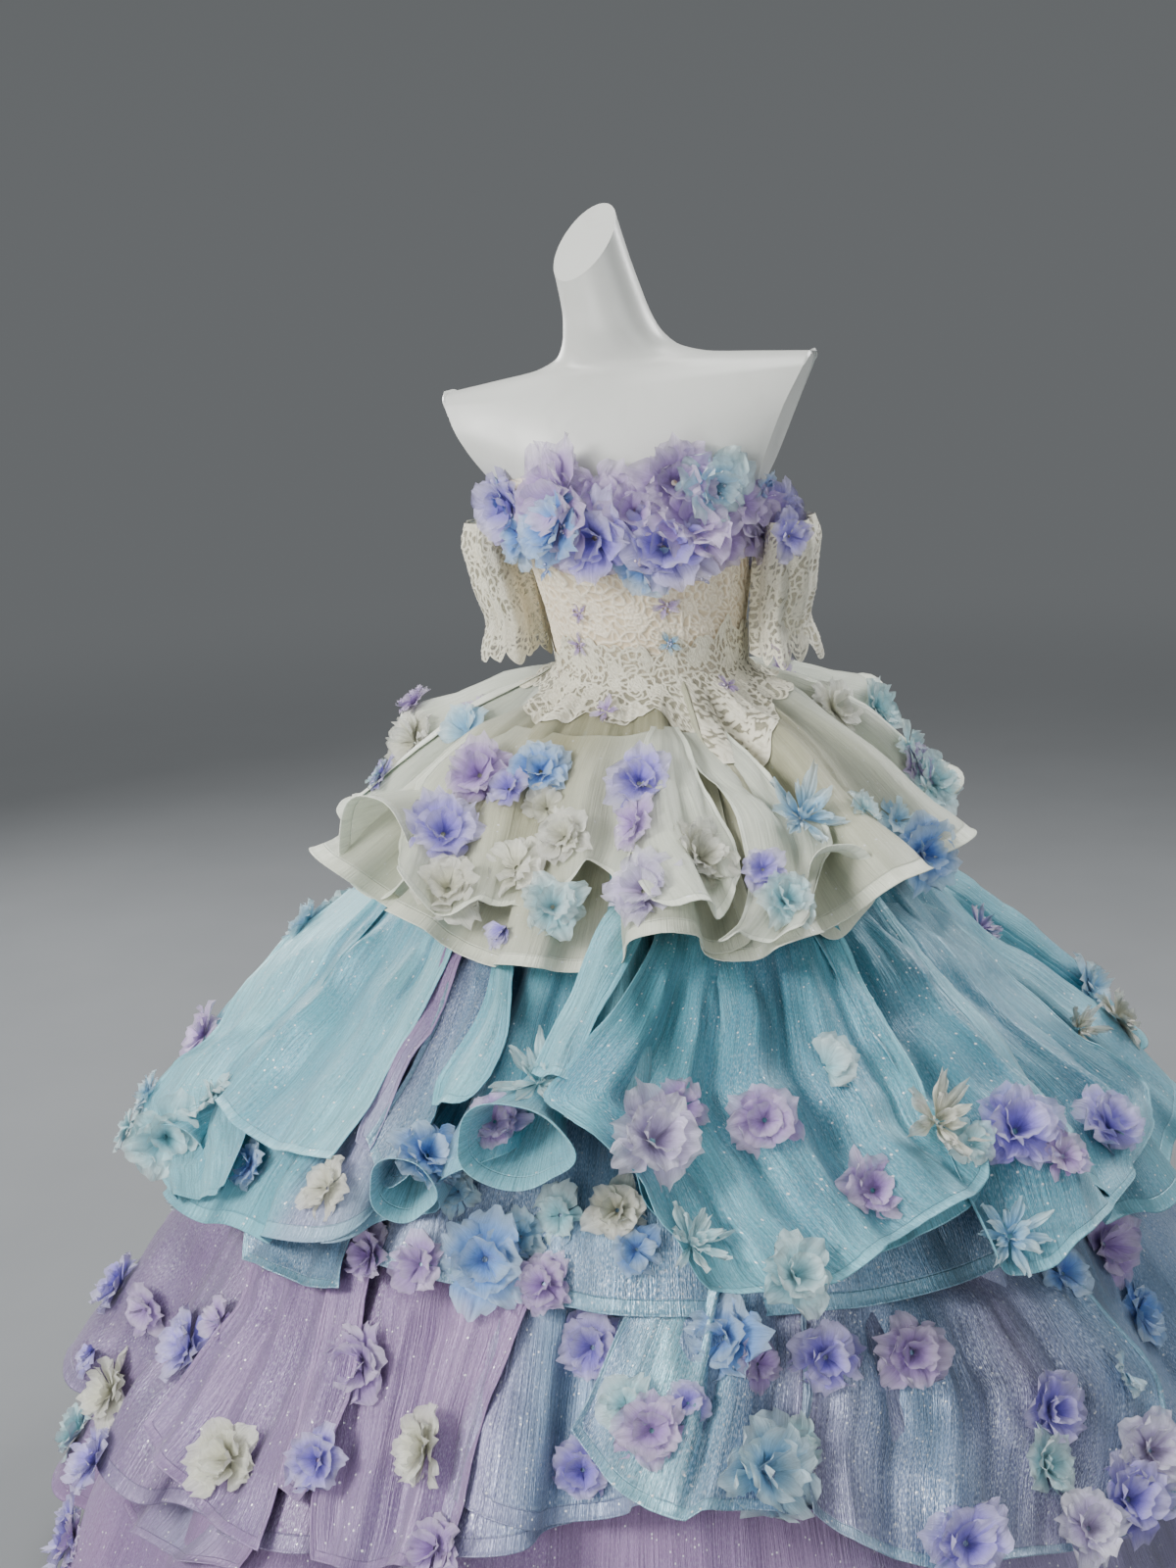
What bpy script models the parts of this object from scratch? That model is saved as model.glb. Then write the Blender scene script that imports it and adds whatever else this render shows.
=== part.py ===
"""Ball gown on a dress form.

A corset bodice with off-shoulder lace sleeves, a fluted peplum and four skirt tiers over a floor-length
underskirt, trimmed with organza flowers. It stands on a torso form with a pole and a round base plate.

Metres, +Z up. The origin is the centre of the base plate's underside. The gown faces -Y. An angle round
the gown is 0 at centre front and grows towards +X, the wearer's left. "Along" is a length measured down
the skirt's slope from the waist.
"""

import math

import bmesh
import bpy
import numpy as np
from mathutils import Matrix, Vector

# Cloth and fit
CLOTH = 0.0022  # thickness of a cloth wall
LACE = 0.0014  # thickness of the lace laid on the waist
GAP = 0.0004  # clearance between neighbouring pieces
SEAM_SHIFT = GAP / 2  # each piece stops this far short of a seam
STEP = 1e-4  # step of the differences that give a surface its normals

# Dress form
BASE_RADIUS = 0.22
BASE_THICK = 0.010
POLE_RADIUS = 0.016
POLE_COLLAR_RADIUS = 0.034
POLE_COLLAR_TALL = 0.030
ROUND_STEPS = 24
FORM_BOTTOM = 0.880
NECK_CUT_POINT = (-0.050, -0.028, 1.530)
NECK_CUT_NORMAL = (-0.46, -0.62, 0.63)
ARM_CUT_HEIGHT = 1.268  # the flat faces where arms would be start here, at the form's side, and lean outwards
ARM_CUT_REACH = 0.1325
ARM_CUT_LEAN = 0.50
SHOULDER_TILT = 0.085  # rise per metre of width: the form's left shoulder is carried high
TILT_FROM = 1.25
TILT_TALL = 0.12

BODY_COLUMNS = 36  # round the form, the bodice and what lies on it, so that their facets stay parallel

# Outer face of the bodice, carried on down to the hips and up to the neck of the form under it.
TORSO = (
    # height, half_width, front_depth, back_depth, shift_x, shift_y
    (0.880, 0.150, 0.108, 0.124, 0.000, 0.000),
    (0.930, 0.152, 0.110, 0.126, 0.000, 0.000),
    (0.990, 0.138, 0.103, 0.114, 0.000, 0.000),
    (1.040, 0.117, 0.094, 0.098, 0.000, 0.000),
    (1.082, 0.102, 0.086, 0.086, 0.000, 0.000),
    (1.130, 0.105, 0.092, 0.088, -0.003, 0.000),
    (1.180, 0.114, 0.102, 0.092, -0.006, 0.000),
    (1.225, 0.124, 0.108, 0.097, -0.009, 0.000),
    (1.265, 0.131, 0.106, 0.102, -0.011, 0.000),
    (1.300, 0.172, 0.098, 0.104, -0.013, 0.000),
    (1.335, 0.215, 0.088, 0.102, -0.015, 0.000),
    (1.365, 0.245, 0.075, 0.094, -0.016, 0.000),
    (1.390, 0.250, 0.061, 0.080, -0.016, 0.000),
    (1.401, 0.215, 0.053, 0.069, -0.017, 0.000),
    (1.409, 0.150, 0.048, 0.060, -0.019, -0.001),
    (1.416, 0.092, 0.046, 0.054, -0.022, -0.002),
    (1.428, 0.064, 0.047, 0.050, -0.026, -0.004),
    (1.448, 0.052, 0.048, 0.048, -0.031, -0.008),
    (1.475, 0.046, 0.046, 0.046, -0.036, -0.012),
    (1.530, 0.042, 0.044, 0.044, -0.048, -0.021),
    (1.620, 0.040, 0.042, 0.042, -0.068, -0.036),
)
BUST_OUT = 0.016
BUST_ANGLE = math.radians(30)
BUST_WIDE = math.radians(19)
BUST_HEIGHT = 1.222
BUST_TALL = 0.036
FORM_HEIGHTS_BELOW = (0.880, 0.950, 1.010, 1.050)
FORM_HEIGHTS_ABOVE = (1.335, 1.365, 1.390, 1.401, 1.409, 1.418, 1.432, 1.465, 1.620)

# Bodice
WAIST_HEIGHT = 1.0822
BODICE_ROWS = 6
BODICE_PANELS = (
    # node, from, to
    ("bodice_front", -90, 90),
    ("bodice_back_left", 90, 180),
    ("bodice_back_right", 180, 270),
)
NECKLINE = (
    # angle, height: a sweetheart dip at the front, lower at the back
    (-180, 1.240),
    (-120, 1.250),
    (-85, 1.266),
    (-30, 1.304),
    (0, 1.286),
    (30, 1.304),
    (85, 1.266),
    (120, 1.250),
)

# Sleeves: open lace tubes that hang off the shoulder
SLEEVE_COLUMNS = 14
SLEEVE_SECTIONS = (
    # height, half_width, half_depth, stand_off: how far the inner side hangs clear of the neckline band
    (1.246, 0.029, 0.048, 0.0),
    (1.218, 0.034, 0.056, 0.0),
    (1.178, 0.034, 0.058, 0.002),
    (1.142, 0.031, 0.055, 0.005),
    (1.112, 0.036, 0.062, 0.006),
)
SLEEVE_PLEATS = 4
SLEEVE_PLEAT_OUT = 0.004

# Skirt: every tier is measured off this slope
SLOPE = (
    # radius, height
    (0.1022, 1.0816),
    (0.190, 0.985),
    (0.268, 0.858),
    (0.445, 0.600),
    (0.585, 0.300),
    (0.675, 0.008),
)
WAIST_DEPTH_SHARE = 0.84  # the waist is an oval, deeper round the hips
ROUND_FROM_ALONG = 0.30
SIDE_SHAPES = (
    # angle, half_width, along, half_length, share of the slope's radius that is taken off
    (95, 45, 0.37, 0.15, 0.11),
    (-72, 40, 0.42, 0.20, -0.035),
)


def smooth_through(knots, values, x):
    """Monotone cubic curve through the knots, read at x."""
    knots, values = np.asarray(knots, float), np.asarray(values, float)
    step = np.diff(knots)
    slope = np.diff(values) / step
    product = slope[:-1] * slope[1:]
    total = slope[:-1] + slope[1:]
    turning = product <= 0
    middle = np.where(turning, 0.0, 2 * product / np.where(turning, 1.0, total))
    tangent = np.concatenate([slope[:1], middle, slope[-1:]])
    i = np.clip(np.searchsorted(knots, x, side="right") - 1, 0, len(step) - 1)
    t = (x - knots[i]) / step[i]
    rise = values[i + 1] - values[i]
    return (
        values[i]
        + rise * t * t * (3 - 2 * t)
        + step[i] * tangent[i] * t * (1 - t) ** 2
        - step[i] * tangent[i + 1] * t * t * (1 - t)
    )


def smooth_around(rows, angle):
    """A table of (degrees, value) read all the way round at an angle in radians."""
    degrees = np.array([row[0] for row in rows], float)
    values = np.array([row[1] for row in rows], float)
    knots = np.concatenate([degrees - 360, degrees, degrees + 360])
    turned = (np.degrees(angle) + 180) % 360 - 180
    return smooth_through(knots, np.tile(values, 3), turned)


def ease(x):
    """0 below 0, 1 above 1, and smooth between."""
    x = np.clip(x, 0, 1)
    return x * x * (3 - 2 * x)


def column(rows, index):
    return np.array([row[index] for row in rows], float)


def normals_of(surface, first, second):
    """Unit normals of surface(first, second): the way its second parameter runs crossed with its first."""
    along_first = surface(first + STEP, second) - surface(first - STEP, second)
    along_second = surface(first, second + STEP) - surface(first, second - STEP)
    normal = np.cross(along_second, along_first)
    return normal / np.linalg.norm(normal, axis=-1, keepdims=True)


# ---------------------------------------------------------------- torso


def torso_surface(angle, height):
    """Outer face of the bodice and, carried on, of the form."""
    half_width, front, back, shift_x, shift_y = (
        smooth_through(column(TORSO, 0), column(TORSO, k), height) for k in range(1, 6)
    )
    depth = np.where(np.cos(angle) > 0, front, back)
    across = np.exp(-(((np.abs(angle) - BUST_ANGLE) / BUST_WIDE) ** 2))
    bust = BUST_OUT * across * np.exp(-(((height - BUST_HEIGHT) / BUST_TALL) ** 2))
    reach = ARM_CUT_REACH + ARM_CUT_LEAN * (height - ARM_CUT_HEIGHT)
    reach = np.where(height > ARM_CUT_HEIGHT, reach, np.inf)
    x = np.clip((half_width + bust) * np.sin(angle), -reach, reach) + shift_x
    y = -(depth + bust) * np.cos(angle) + shift_y
    z = height + SHOULDER_TILT * x * ease((height - TILT_FROM) / TILT_TALL)
    return np.stack([x, y, z], axis=-1)


def torso_normals(angle, height):
    return -normals_of(torso_surface, angle, height)


def wrapped(angle):
    """The angle in the range from -pi to pi."""
    return (angle + math.pi) % (2 * math.pi) - math.pi


def around():
    """The angles of the columns that the form, the bodice and what lies on it share."""
    return wrapped(np.arange(BODY_COLUMNS) * 2 * math.pi / BODY_COLUMNS)


def bodice_height(angle, share):
    """Height on the bodice at a share of the way from the waist to the neckline."""
    return WAIST_HEIGHT + share * (smooth_around(NECKLINE, angle) - WAIST_HEIGHT)


# ---------------------------------------------------------------- skirt slope


def slope_lengths():
    radius, height = column(SLOPE, 0), column(SLOPE, 1)
    steps = np.hypot(np.diff(radius), np.diff(height))
    return np.concatenate([[0], np.cumsum(steps)])


SLOPE_ALONG = slope_lengths()
SLOPE_END = SLOPE_ALONG[-1]


def slope_surface(angle, along):
    """The smooth slope that all skirt tiers are lifted from."""
    radius = smooth_through(SLOPE_ALONG, column(SLOPE, 0), along)
    height = smooth_through(SLOPE_ALONG, column(SLOPE, 1), along)
    for degrees, half_width, middle, half_length, less in SIDE_SHAPES:
        across = wrapped(angle - math.radians(degrees)) / math.radians(half_width)
        radius = radius * (1 - less * np.exp(-(across**2) - ((along - middle) / half_length) ** 2))
    share = WAIST_DEPTH_SHARE + (1 - WAIST_DEPTH_SHARE) * ease(along / ROUND_FROM_ALONG)
    return np.stack([radius * np.sin(angle), -radius * share * np.cos(angle), height], axis=-1)


# Tiers. lift rows: (along, height of the cloth's outer face over the slope).
# hem rows: (angle, along). fold rows: (angle, half_width, out), the flutes that stand out at the hem.
PEPLUM = {
    "rows": (0, 0.18, 0.40, 0.61, 0.81, 1),
    "roll": 0.006,
    "top": 0.000,
    "lift": ((0.0, 0.0052), (0.06, 0.0135), (0.13, 0.0245), (0.27, 0.050), (0.40, 0.080)),
    "hem": (
        (-170, 0.255), (-140, 0.245), (-112, 0.200), (-82, 0.262), (-52, 0.290), (-32, 0.308),
        (-10, 0.335), (2, 0.325), (14, 0.305), (28, 0.325), (40, 0.305), (56, 0.278), (85, 0.265),
        (112, 0.245), (146, 0.195), (166, 0.240),
    ),
    "folds": (
        (-167, 13, 0.060), (-140, 13, 0.060), (-112, 14, 0.105), (-82, 14, 0.060),
        (-52, 15, 0.086), (-30, 11, 0.056), (-9, 9, 0.036), (13, 11, 0.066), (33, 9, 0.050),
        (54, 12, 0.080), (84, 13, 0.060), (114, 14, 0.070), (146, 16, 0.115), (172, 10, 0.045),
    ),
    "grow": 1.15,
    "curl": 0.26,
}
UPPER_TIER = {
    "rows": (0, 0.13, 0.32, 0.55, 0.78, 1),
    "roll": 0.006,
    "top": 0.004,
    "lift": (
        (0.0, 0.0026), (0.06, 0.0062), (0.13, 0.0125), (0.30, 0.026), (0.50, 0.049), (0.64, 0.067),
        (0.80, 0.078),
    ),
    "hem": (
        (-170, 0.690), (-140, 0.700), (-110, 0.690), (-90, 0.705), (-72, 0.690), (-50, 0.660),
        (-28, 0.625), (-12, 0.550), (1, 0.475), (13, 0.560), (24, 0.615), (40, 0.600), (52, 0.560),
        (63, 0.655), (80, 0.690), (100, 0.665), (140, 0.700),
    ),
    "folds": (
        (-170, 13, 0.056), (-146, 12, 0.048), (-122, 12, 0.060), (-98, 12, 0.050),
        (-75, 12, 0.064), (-50, 13, 0.034), (-27, 12, 0.046), (-9, 8, 0.056), (5, 9, 0.078),
        (24, 10, 0.030), (42, 9, 0.042), (58, 9, 0.050), (76, 10, 0.030), (97, 12, 0.034),
        (120, 12, 0.048), (143, 12, 0.058), (167, 12, 0.046),
    ),
    "grow": 1.5,
    "curl": 0.28,
}
UNDER_TIER = {
    "rows": (0, 0.30, 0.65, 1),
    "roll": 0.0,
    "top": 0.130,
    "lift": ((0.13, 0.0033), (0.20, 0.0095), (0.42, 0.0230), (0.66, 0.040), (0.80, 0.050)),
    "hem": (
        (-150, 0.670), (-90, 0.665), (-45, 0.640), (-20, 0.625), (10, 0.640), (50, 0.655), (90, 0.655),
        (150, 0.670),
    ),
    "folds": (
        (-160, 15, 0.016), (-130, 14, 0.020), (-100, 14, 0.015), (-70, 14, 0.020), (-42, 13, 0.015),
        (-16, 12, 0.020), (10, 13, 0.016), (38, 14, 0.015), (68, 15, 0.012), (98, 14, 0.016),
        (128, 14, 0.012), (160, 15, 0.015),
    ),
    "grow": 1.3,
    "curl": 0.20,
}
MIDDLE_TIER = {
    "rows": (0, 0.20, 0.41, 0.62, 0.82, 1),
    "roll": 0.006,
    "top": 0.420,
    "lift": (
        (0.42, 0.0038), (0.50, 0.0125), (0.60, 0.0175), (0.72, 0.0230), (0.85, 0.042), (0.97, 0.060),
        (1.10, 0.072),
    ),
    "hem": (
        (-165, 0.960), (-130, 0.970), (-100, 0.965), (-75, 0.950), (-45, 0.930), (-20, 0.880),
        (-5, 0.850), (16, 0.790), (30, 0.840), (45, 0.880), (65, 0.930), (85, 0.985), (120, 0.970),
    ),
    "folds": (
        (-167, 12, 0.050), (-143, 12, 0.044), (-118, 12, 0.054), (-94, 12, 0.046), (-70, 12, 0.056),
        (-46, 12, 0.046), (-24, 11, 0.056), (-4, 9, 0.048), (14, 10, 0.056), (36, 12, 0.030),
        (60, 12, 0.044), (84, 12, 0.056), (108, 12, 0.046), (132, 12, 0.054), (156, 12, 0.044),
    ),
    "grow": 1.8,
    "curl": 0.28,
}
LOWER_TIER = {
    "rows": (0, 0.28, 0.54, 0.78, 1),
    "roll": 0.006,
    "top": 0.720,
    "lift": ((0.72, 0.0054), (0.80, 0.0120), (0.90, 0.0200), (1.05, 0.028), (1.20, 0.035)),
    "hem": (
        (-150, 1.190), (-90, 1.170), (-50, 1.150), (-10, 1.175), (30, 1.150), (70, 1.180), (120, 1.165),
    ),
    "folds": (
        (-169, 11, 0.064), (-147, 11, 0.056), (-125, 11, 0.070), (-102, 11, 0.060), (-80, 11, 0.074),
        (-57, 11, 0.060), (-35, 11, 0.070), (-13, 11, 0.056), (9, 11, 0.068), (31, 11, 0.056),
        (54, 11, 0.070), (77, 11, 0.062), (100, 11, 0.072), (123, 11, 0.058), (145, 11, 0.068),
        (168, 10, 0.054),
    ),
    "grow": 1.6,
    "curl": 0.26,
}
UNDERSKIRT = {
    "rows": (0, 0.107, 0.215, 0.3415, 0.5855, 1),
    "roll": 0.0,
    "top": 0.000,
    "lift": ((0.0, 0.0), (SLOPE_END, 0.0)),
    "hem": ((-180, SLOPE_END), (0, SLOPE_END)),
    "folds": tuple((-170 + 20 * k, 9, 0.012) for k in range(18)),
    "grow": 3.0,
    "curl": 0.0,
}
HEM_ROLL_POWER = 8  # the wired hem turns out by roll over the last of the cloth

PANELS = (
    # node, tier, from, to, columns, colour
    ("peplum_front_right", PEPLUM, -82, 26, 27, "ivory"),
    ("peplum_front_left", PEPLUM, 26, 112, 22, "ivory"),
    ("peplum_back", PEPLUM, 112, 278, 30, "ivory"),
    ("upper_tier_side_right", UPPER_TIER, -110, -18, 20, "turquoise"),
    ("upper_tier_centre", UPPER_TIER, -18, 14, 10, "turquoise"),
    ("upper_tier_front_left", UPPER_TIER, 14, 58, 12, "turquoise"),
    ("upper_tier_side_left", UPPER_TIER, 58, 112, 13, "turquoise"),
    ("upper_tier_back_left", UPPER_TIER, 112, 181, 14, "turquoise"),
    ("upper_tier_back_right", UPPER_TIER, 181, 250, 14, "turquoise"),
    ("under_tier_front", UNDER_TIER, -90, 90, 22, "silver_blue"),
    ("under_tier_back", UNDER_TIER, 90, 270, 22, "silver_blue"),
    ("middle_tier_front_right", MIDDLE_TIER, -92, -3, 18, "lilac"),
    ("middle_tier_front_left", MIDDLE_TIER, -3, 88, 18, "silver_blue"),
    ("middle_tier_back_left", MIDDLE_TIER, 88, 178, 17, "silver_blue"),
    ("middle_tier_back_right", MIDDLE_TIER, 178, 268, 17, "lilac"),
    ("lower_tier_front", LOWER_TIER, -90, 90, 32, "lilac"),
    ("lower_tier_back", LOWER_TIER, 90, 270, 32, "lilac"),
    ("underskirt_front", UNDERSKIRT, -90, 90, 20, "lilac"),
    ("underskirt_back", UNDERSKIRT, 90, 270, 20, "lilac"),
)

# Flowers sewn on the panels: five petals, one fused rosette each
PETALS = 5
FLOWER_FOOT = 0.011  # radius of the stitched centre
FLOWER_SINK = CLOTH / 2
FACING_OUTWARD = 0.3  # a facet takes a flower where its normal's share along the tier's is more than this
FLOWER_TALL_SHARE = 0.62  # height over radius
FLOWER_HEART_SHARE = 0.45  # height of the heart over the petals' height
FLOWERS = (
    # panel, angle, share of the way down, radius
    ("peplum_front_right", -74, 0.92, 0.036),
    ("peplum_front_right", -30, 0.62, 0.040),
    ("peplum_front_right", -24, 0.90, 0.042),
    ("peplum_front_right", 3, 0.84, 0.038),
    ("peplum_front_left", 47, 0.80, 0.042),
    ("peplum_front_left", 100, 0.80, 0.038),
    ("peplum_back", 150, 0.84, 0.038),
    ("peplum_back", 205, 0.80, 0.040),
    ("upper_tier_side_right", -40, 0.92, 0.038),
    ("upper_tier_centre", -9, 0.90, 0.040),
    ("upper_tier_front_left", 23, 0.72, 0.044),
    ("upper_tier_front_left", 38, 0.92, 0.040),
    ("upper_tier_side_left", 70, 0.84, 0.044),
    ("upper_tier_side_left", 99, 0.88, 0.040),
    ("upper_tier_back_left", 145, 0.86, 0.042),
    ("upper_tier_back_right", 212, 0.88, 0.042),
    ("middle_tier_front_right", -74, 0.86, 0.042),
    ("middle_tier_front_right", -30, 0.78, 0.042),
    ("middle_tier_front_left", 14, 0.82, 0.042),
    ("middle_tier_front_left", 64, 0.90, 0.042),
    ("middle_tier_back_left", 128, 0.84, 0.042),
    ("middle_tier_back_right", 222, 0.84, 0.042),
    ("lower_tier_front", -50, 0.82, 0.042),
    ("lower_tier_front", 8, 0.84, 0.042),
    ("lower_tier_front", 64, 0.80, 0.042),
    ("lower_tier_back", 120, 0.82, 0.042),
    ("lower_tier_back", 180, 0.80, 0.042),
    ("lower_tier_back", 240, 0.82, 0.042),
)

# Flowers round the neckline, fused to one band
BAND_ROWS = (5, 4)  # the bodice's rows that the band covers, counted up from the waist
BAND_FLOWERS_AT = 4.7 / 6  # share of the bodice's height where the flowers are sewn
BAND_THICK = 0.004
FLOWER_GAP = 0.0003  # clearance of the petals to the bodice, a little less than the band's own
NECKLINE_FLOWERS = (
    # angle, radius, up: how far the flower faces upwards, rise: how far above its row it is sewn
    (-86, 0.034, 0.60, 0.006),
    (-60, 0.046, 0.30, 0.004),
    (-36, 0.052, 0.05, 0.000),
    (-14, 0.048, 0.45, 0.010),
    (7, 0.050, -0.20, -0.004),
    (28, 0.054, 0.45, 0.012),
    (52, 0.048, 0.15, 0.004),
    (76, 0.042, 0.45, 0.008),
    (105, 0.036, 0.40, 0.004),
    (142, 0.038, 0.15, 0.000),
    (180, 0.040, 0.10, 0.000),
    (218, 0.038, 0.15, 0.000),
    (254, 0.036, 0.40, 0.004),
)

# Lace laid over the waist seam, hanging down in points on the peplum
WAIST_LACE_TOP_ROW = 1  # the bodice's row that it reaches up to
WAIST_LACE_ON_PEPLUM = 0.0064
WAIST_LACE_ROWS = (0.06, 0.5, 1.0)  # shares of the drop
WAIST_LACE_DROP = (
    # angle, along the peplum
    (-150, 0.022), (-110, 0.030), (-75, 0.022), (-45, 0.034), (-22, 0.026), (-5, 0.048), (8, 0.030),
    (22, 0.036), (38, 0.092), (52, 0.060), (75, 0.030), (105, 0.034), (150, 0.024), (180, 0.034),
)

COLOURS = {
    # linear red, green, blue, roughness, metallic
    "form_white": (0.80, 0.81, 0.80, 0.35, 0.0),
    "steel": (0.60, 0.60, 0.62, 0.30, 1.0),
    "base_white": (0.72, 0.72, 0.72, 0.40, 0.0),
    "lace": (0.80, 0.72, 0.60, 0.85, 0.0),
    "ivory": (0.76, 0.73, 0.60, 0.45, 0.0),
    "turquoise": (0.30, 0.60, 0.68, 0.40, 0.0),
    "silver_blue": (0.42, 0.50, 0.66, 0.32, 0.2),
    "lilac": (0.48, 0.38, 0.58, 0.40, 0.0),
    "petals": (0.45, 0.42, 0.80, 0.60, 0.0),
}


# ---------------------------------------------------------------- meshes


def clear_scene():
    for existing in list(bpy.data.objects):
        bpy.data.objects.remove(existing)


def material(name):
    found = bpy.data.materials.get(name)
    if found:
        return found
    made = bpy.data.materials.new(name)
    made.use_nodes = True
    red, green, blue, roughness, metallic = COLOURS[name]
    shader = made.node_tree.nodes["Principled BSDF"]
    shader.inputs["Base Color"].default_value = (red, green, blue, 1)
    shader.inputs["Roughness"].default_value = roughness
    shader.inputs["Metallic"].default_value = metallic
    return made


def link_mesh(name, points, faces, colour):
    mesh = bpy.data.meshes.new(name)
    mesh.from_pydata([tuple(p) for p in points], [], faces)
    mesh.materials.append(material(colour))
    made = bpy.data.objects.new(name, mesh)
    bpy.context.scene.collection.objects.link(made)
    return made


def finish_bmesh(name, work, colour):
    bmesh.ops.recalc_face_normals(work, faces=work.faces)
    mesh = bpy.data.meshes.new(name)
    work.to_mesh(mesh)
    work.free()
    mesh.materials.append(material(colour))
    mesh.shade_smooth()
    mesh.set_sharp_from_angle(angle=math.radians(40))
    made = bpy.data.objects.new(name, mesh)
    bpy.context.scene.collection.objects.link(made)
    return made


def wall(outer, inner, closed_round):
    """Points and triangles of a cloth wall between two grids of rows by columns, its edges closed."""
    rows, columns = outer.shape[:2]
    count = rows * columns
    points = np.concatenate([outer.reshape(-1, 3), inner.reshape(-1, 3)])
    triangles = []
    last = columns if closed_round else columns - 1
    for i in range(rows - 1):
        for j in range(last):
            k = (j + 1) % columns
            a, b = i * columns, (i + 1) * columns
            for corners in ((a + j, b + j, b + k), (a + j, b + k, a + k)):
                triangles.append(corners)
                triangles.append(tuple(count + c for c in reversed(corners)))
    low = (rows - 1) * columns
    for j in range(last):
        k = (j + 1) % columns
        triangles += [(j, k, count + k), (j, count + k, count + j)]
        triangles += [(low + k, low + j, count + low + j), (low + k, count + low + j, count + low + k)]
    if not closed_round:
        for i in range(rows - 1):
            a, b = i * columns, (i + 1) * columns
            triangles += [(b, a, count + a), (b, count + a, count + b)]
            a, b = a + columns - 1, b + columns - 1
            triangles += [(a, b, count + b), (a, count + b, count + a)]
    return points, triangles


def pull_in_sides(grid):
    """Moves a grid's first and last columns in by the seam's share, along their own facets."""
    grid = grid.copy()
    for edge, beside in ((0, 1), (-1, -2)):
        reach = grid[:, beside] - grid[:, edge]
        grid[:, edge] += reach * SEAM_SHIFT / np.linalg.norm(reach, axis=-1, keepdims=True)
    return grid


def wall_object(name, outer, inner, closed_round, colour):
    made = link_mesh(name, *wall(outer, inner, closed_round), colour)
    work = bmesh.new()
    work.from_mesh(made.data)
    bmesh.ops.recalc_face_normals(work, faces=work.faces)
    work.to_mesh(made.data)
    work.free()
    made.data.shade_smooth()
    return made


def rosette(radius):
    """One closed flower about +Z: an open cup of petals on a small stitched foot."""
    turns = 2 * PETALS
    tall = radius * FLOWER_TALL_SHARE
    rings = (
        # share of the radius at a petal's tip and between petals, share of the height there
        (1.00, 0.74, 1.00, 0.66),
        (0.50, 0.44, 0.36, 0.32),
    )
    points = [(0, 0, tall * FLOWER_HEART_SHARE)]
    for tip, between, tip_height, between_height in rings:
        for k in range(turns):
            share, height = (between, between_height) if k % 2 else (tip, tip_height)
            turn = 2 * math.pi * k / turns
            points.append((radius * share * math.cos(turn), radius * share * math.sin(turn), tall * height))
    for k in range(turns):
        turn = 2 * math.pi * k / turns
        points.append((FLOWER_FOOT * math.cos(turn), FLOWER_FOOT * math.sin(turn), 0))
    points.append((0, 0, 0))
    bottom = len(points) - 1
    faces = []
    for k in range(turns):
        j = (k + 1) % turns
        faces.append((0, 1 + k, 1 + j))
        for a, b in ((1, 1 + turns), (1 + turns, 1 + 2 * turns)):
            faces.append((a + k, b + k, b + j))
            faces.append((a + k, b + j, a + j))
        faces.append((bottom, bottom - turns + j, bottom - turns + k))
    return points, faces


def facing(place, outward, spin):
    """Matrix that stands a flower at place, facing outward."""
    turn = Vector(outward).to_track_quat("Z", "Y").to_matrix().to_4x4()
    return Matrix.Translation(Vector(place)) @ turn @ Matrix.Rotation(spin, 4, "Z")


def combine(target, tool, operation):
    """Boolean of two mesh objects, applied, with the tool removed."""
    change = target.modifiers.new("join", "BOOLEAN")
    change.operation = operation
    change.object = tool
    graph = bpy.context.evaluated_depsgraph_get()
    made = bpy.data.meshes.new_from_object(target.evaluated_get(graph))
    target.modifiers.remove(change)
    target.data = made
    bpy.data.objects.remove(tool)


# ---------------------------------------------------------------- tiers


def fold_shapes(tier, angle, share):
    """(how far the folds stand out, how far they shift sideways) at a share of the way down."""
    out = np.zeros(np.broadcast(angle, share).shape)
    aside = np.zeros_like(out)
    grow = np.clip(share, 0, None) ** tier["grow"]
    for centre, half_width, height in tier["folds"]:
        half = math.radians(half_width)
        x = wrapped(angle - math.radians(centre)) / half
        inside = np.abs(x) < 1
        out += np.where(inside, height * (0.5 + 0.5 * np.cos(math.pi * x)), 0) * grow
        aside += np.where(inside, tier["curl"] * half * 0.5 * np.sin(2 * math.pi * x), 0) * grow
    return out, aside


def tier_surface(tier):
    """Outer face of a tier as a function of angle and share of the way down."""

    def surface(angle, share):
        along = tier["top"] + share * (smooth_around(tier["hem"], angle) - tier["top"])
        out, aside = fold_shapes(tier, angle, share)
        roll = tier["roll"] * np.clip(share, 0, 1) ** HEM_ROLL_POWER
        lift = smooth_through(column(tier["lift"], 0), column(tier["lift"], 1), along)
        turned = angle + aside
        base = slope_surface(turned, along)
        up = normals_of(slope_surface, turned, along)
        return base + up * (lift + out + roll)[..., None]

    return surface


def make_panel(node, tier, start, end, columns, colour):
    surface = tier_surface(tier)
    share = np.array(tier["rows"], float)[:, None]
    angle = np.radians(np.linspace(start, end, columns + 1))[None, :] + 0 * share
    share = share + 0 * angle
    outer = surface(angle, share)
    inner = outer - CLOTH * normals_of(surface, angle, share)
    made = wall_object(node, pull_in_sides(outer), pull_in_sides(inner), False, colour)
    sewn = [row for row in FLOWERS if row[0] == node]
    if sewn:
        add_flowers(made, surface, sewn)
    return made


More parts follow.
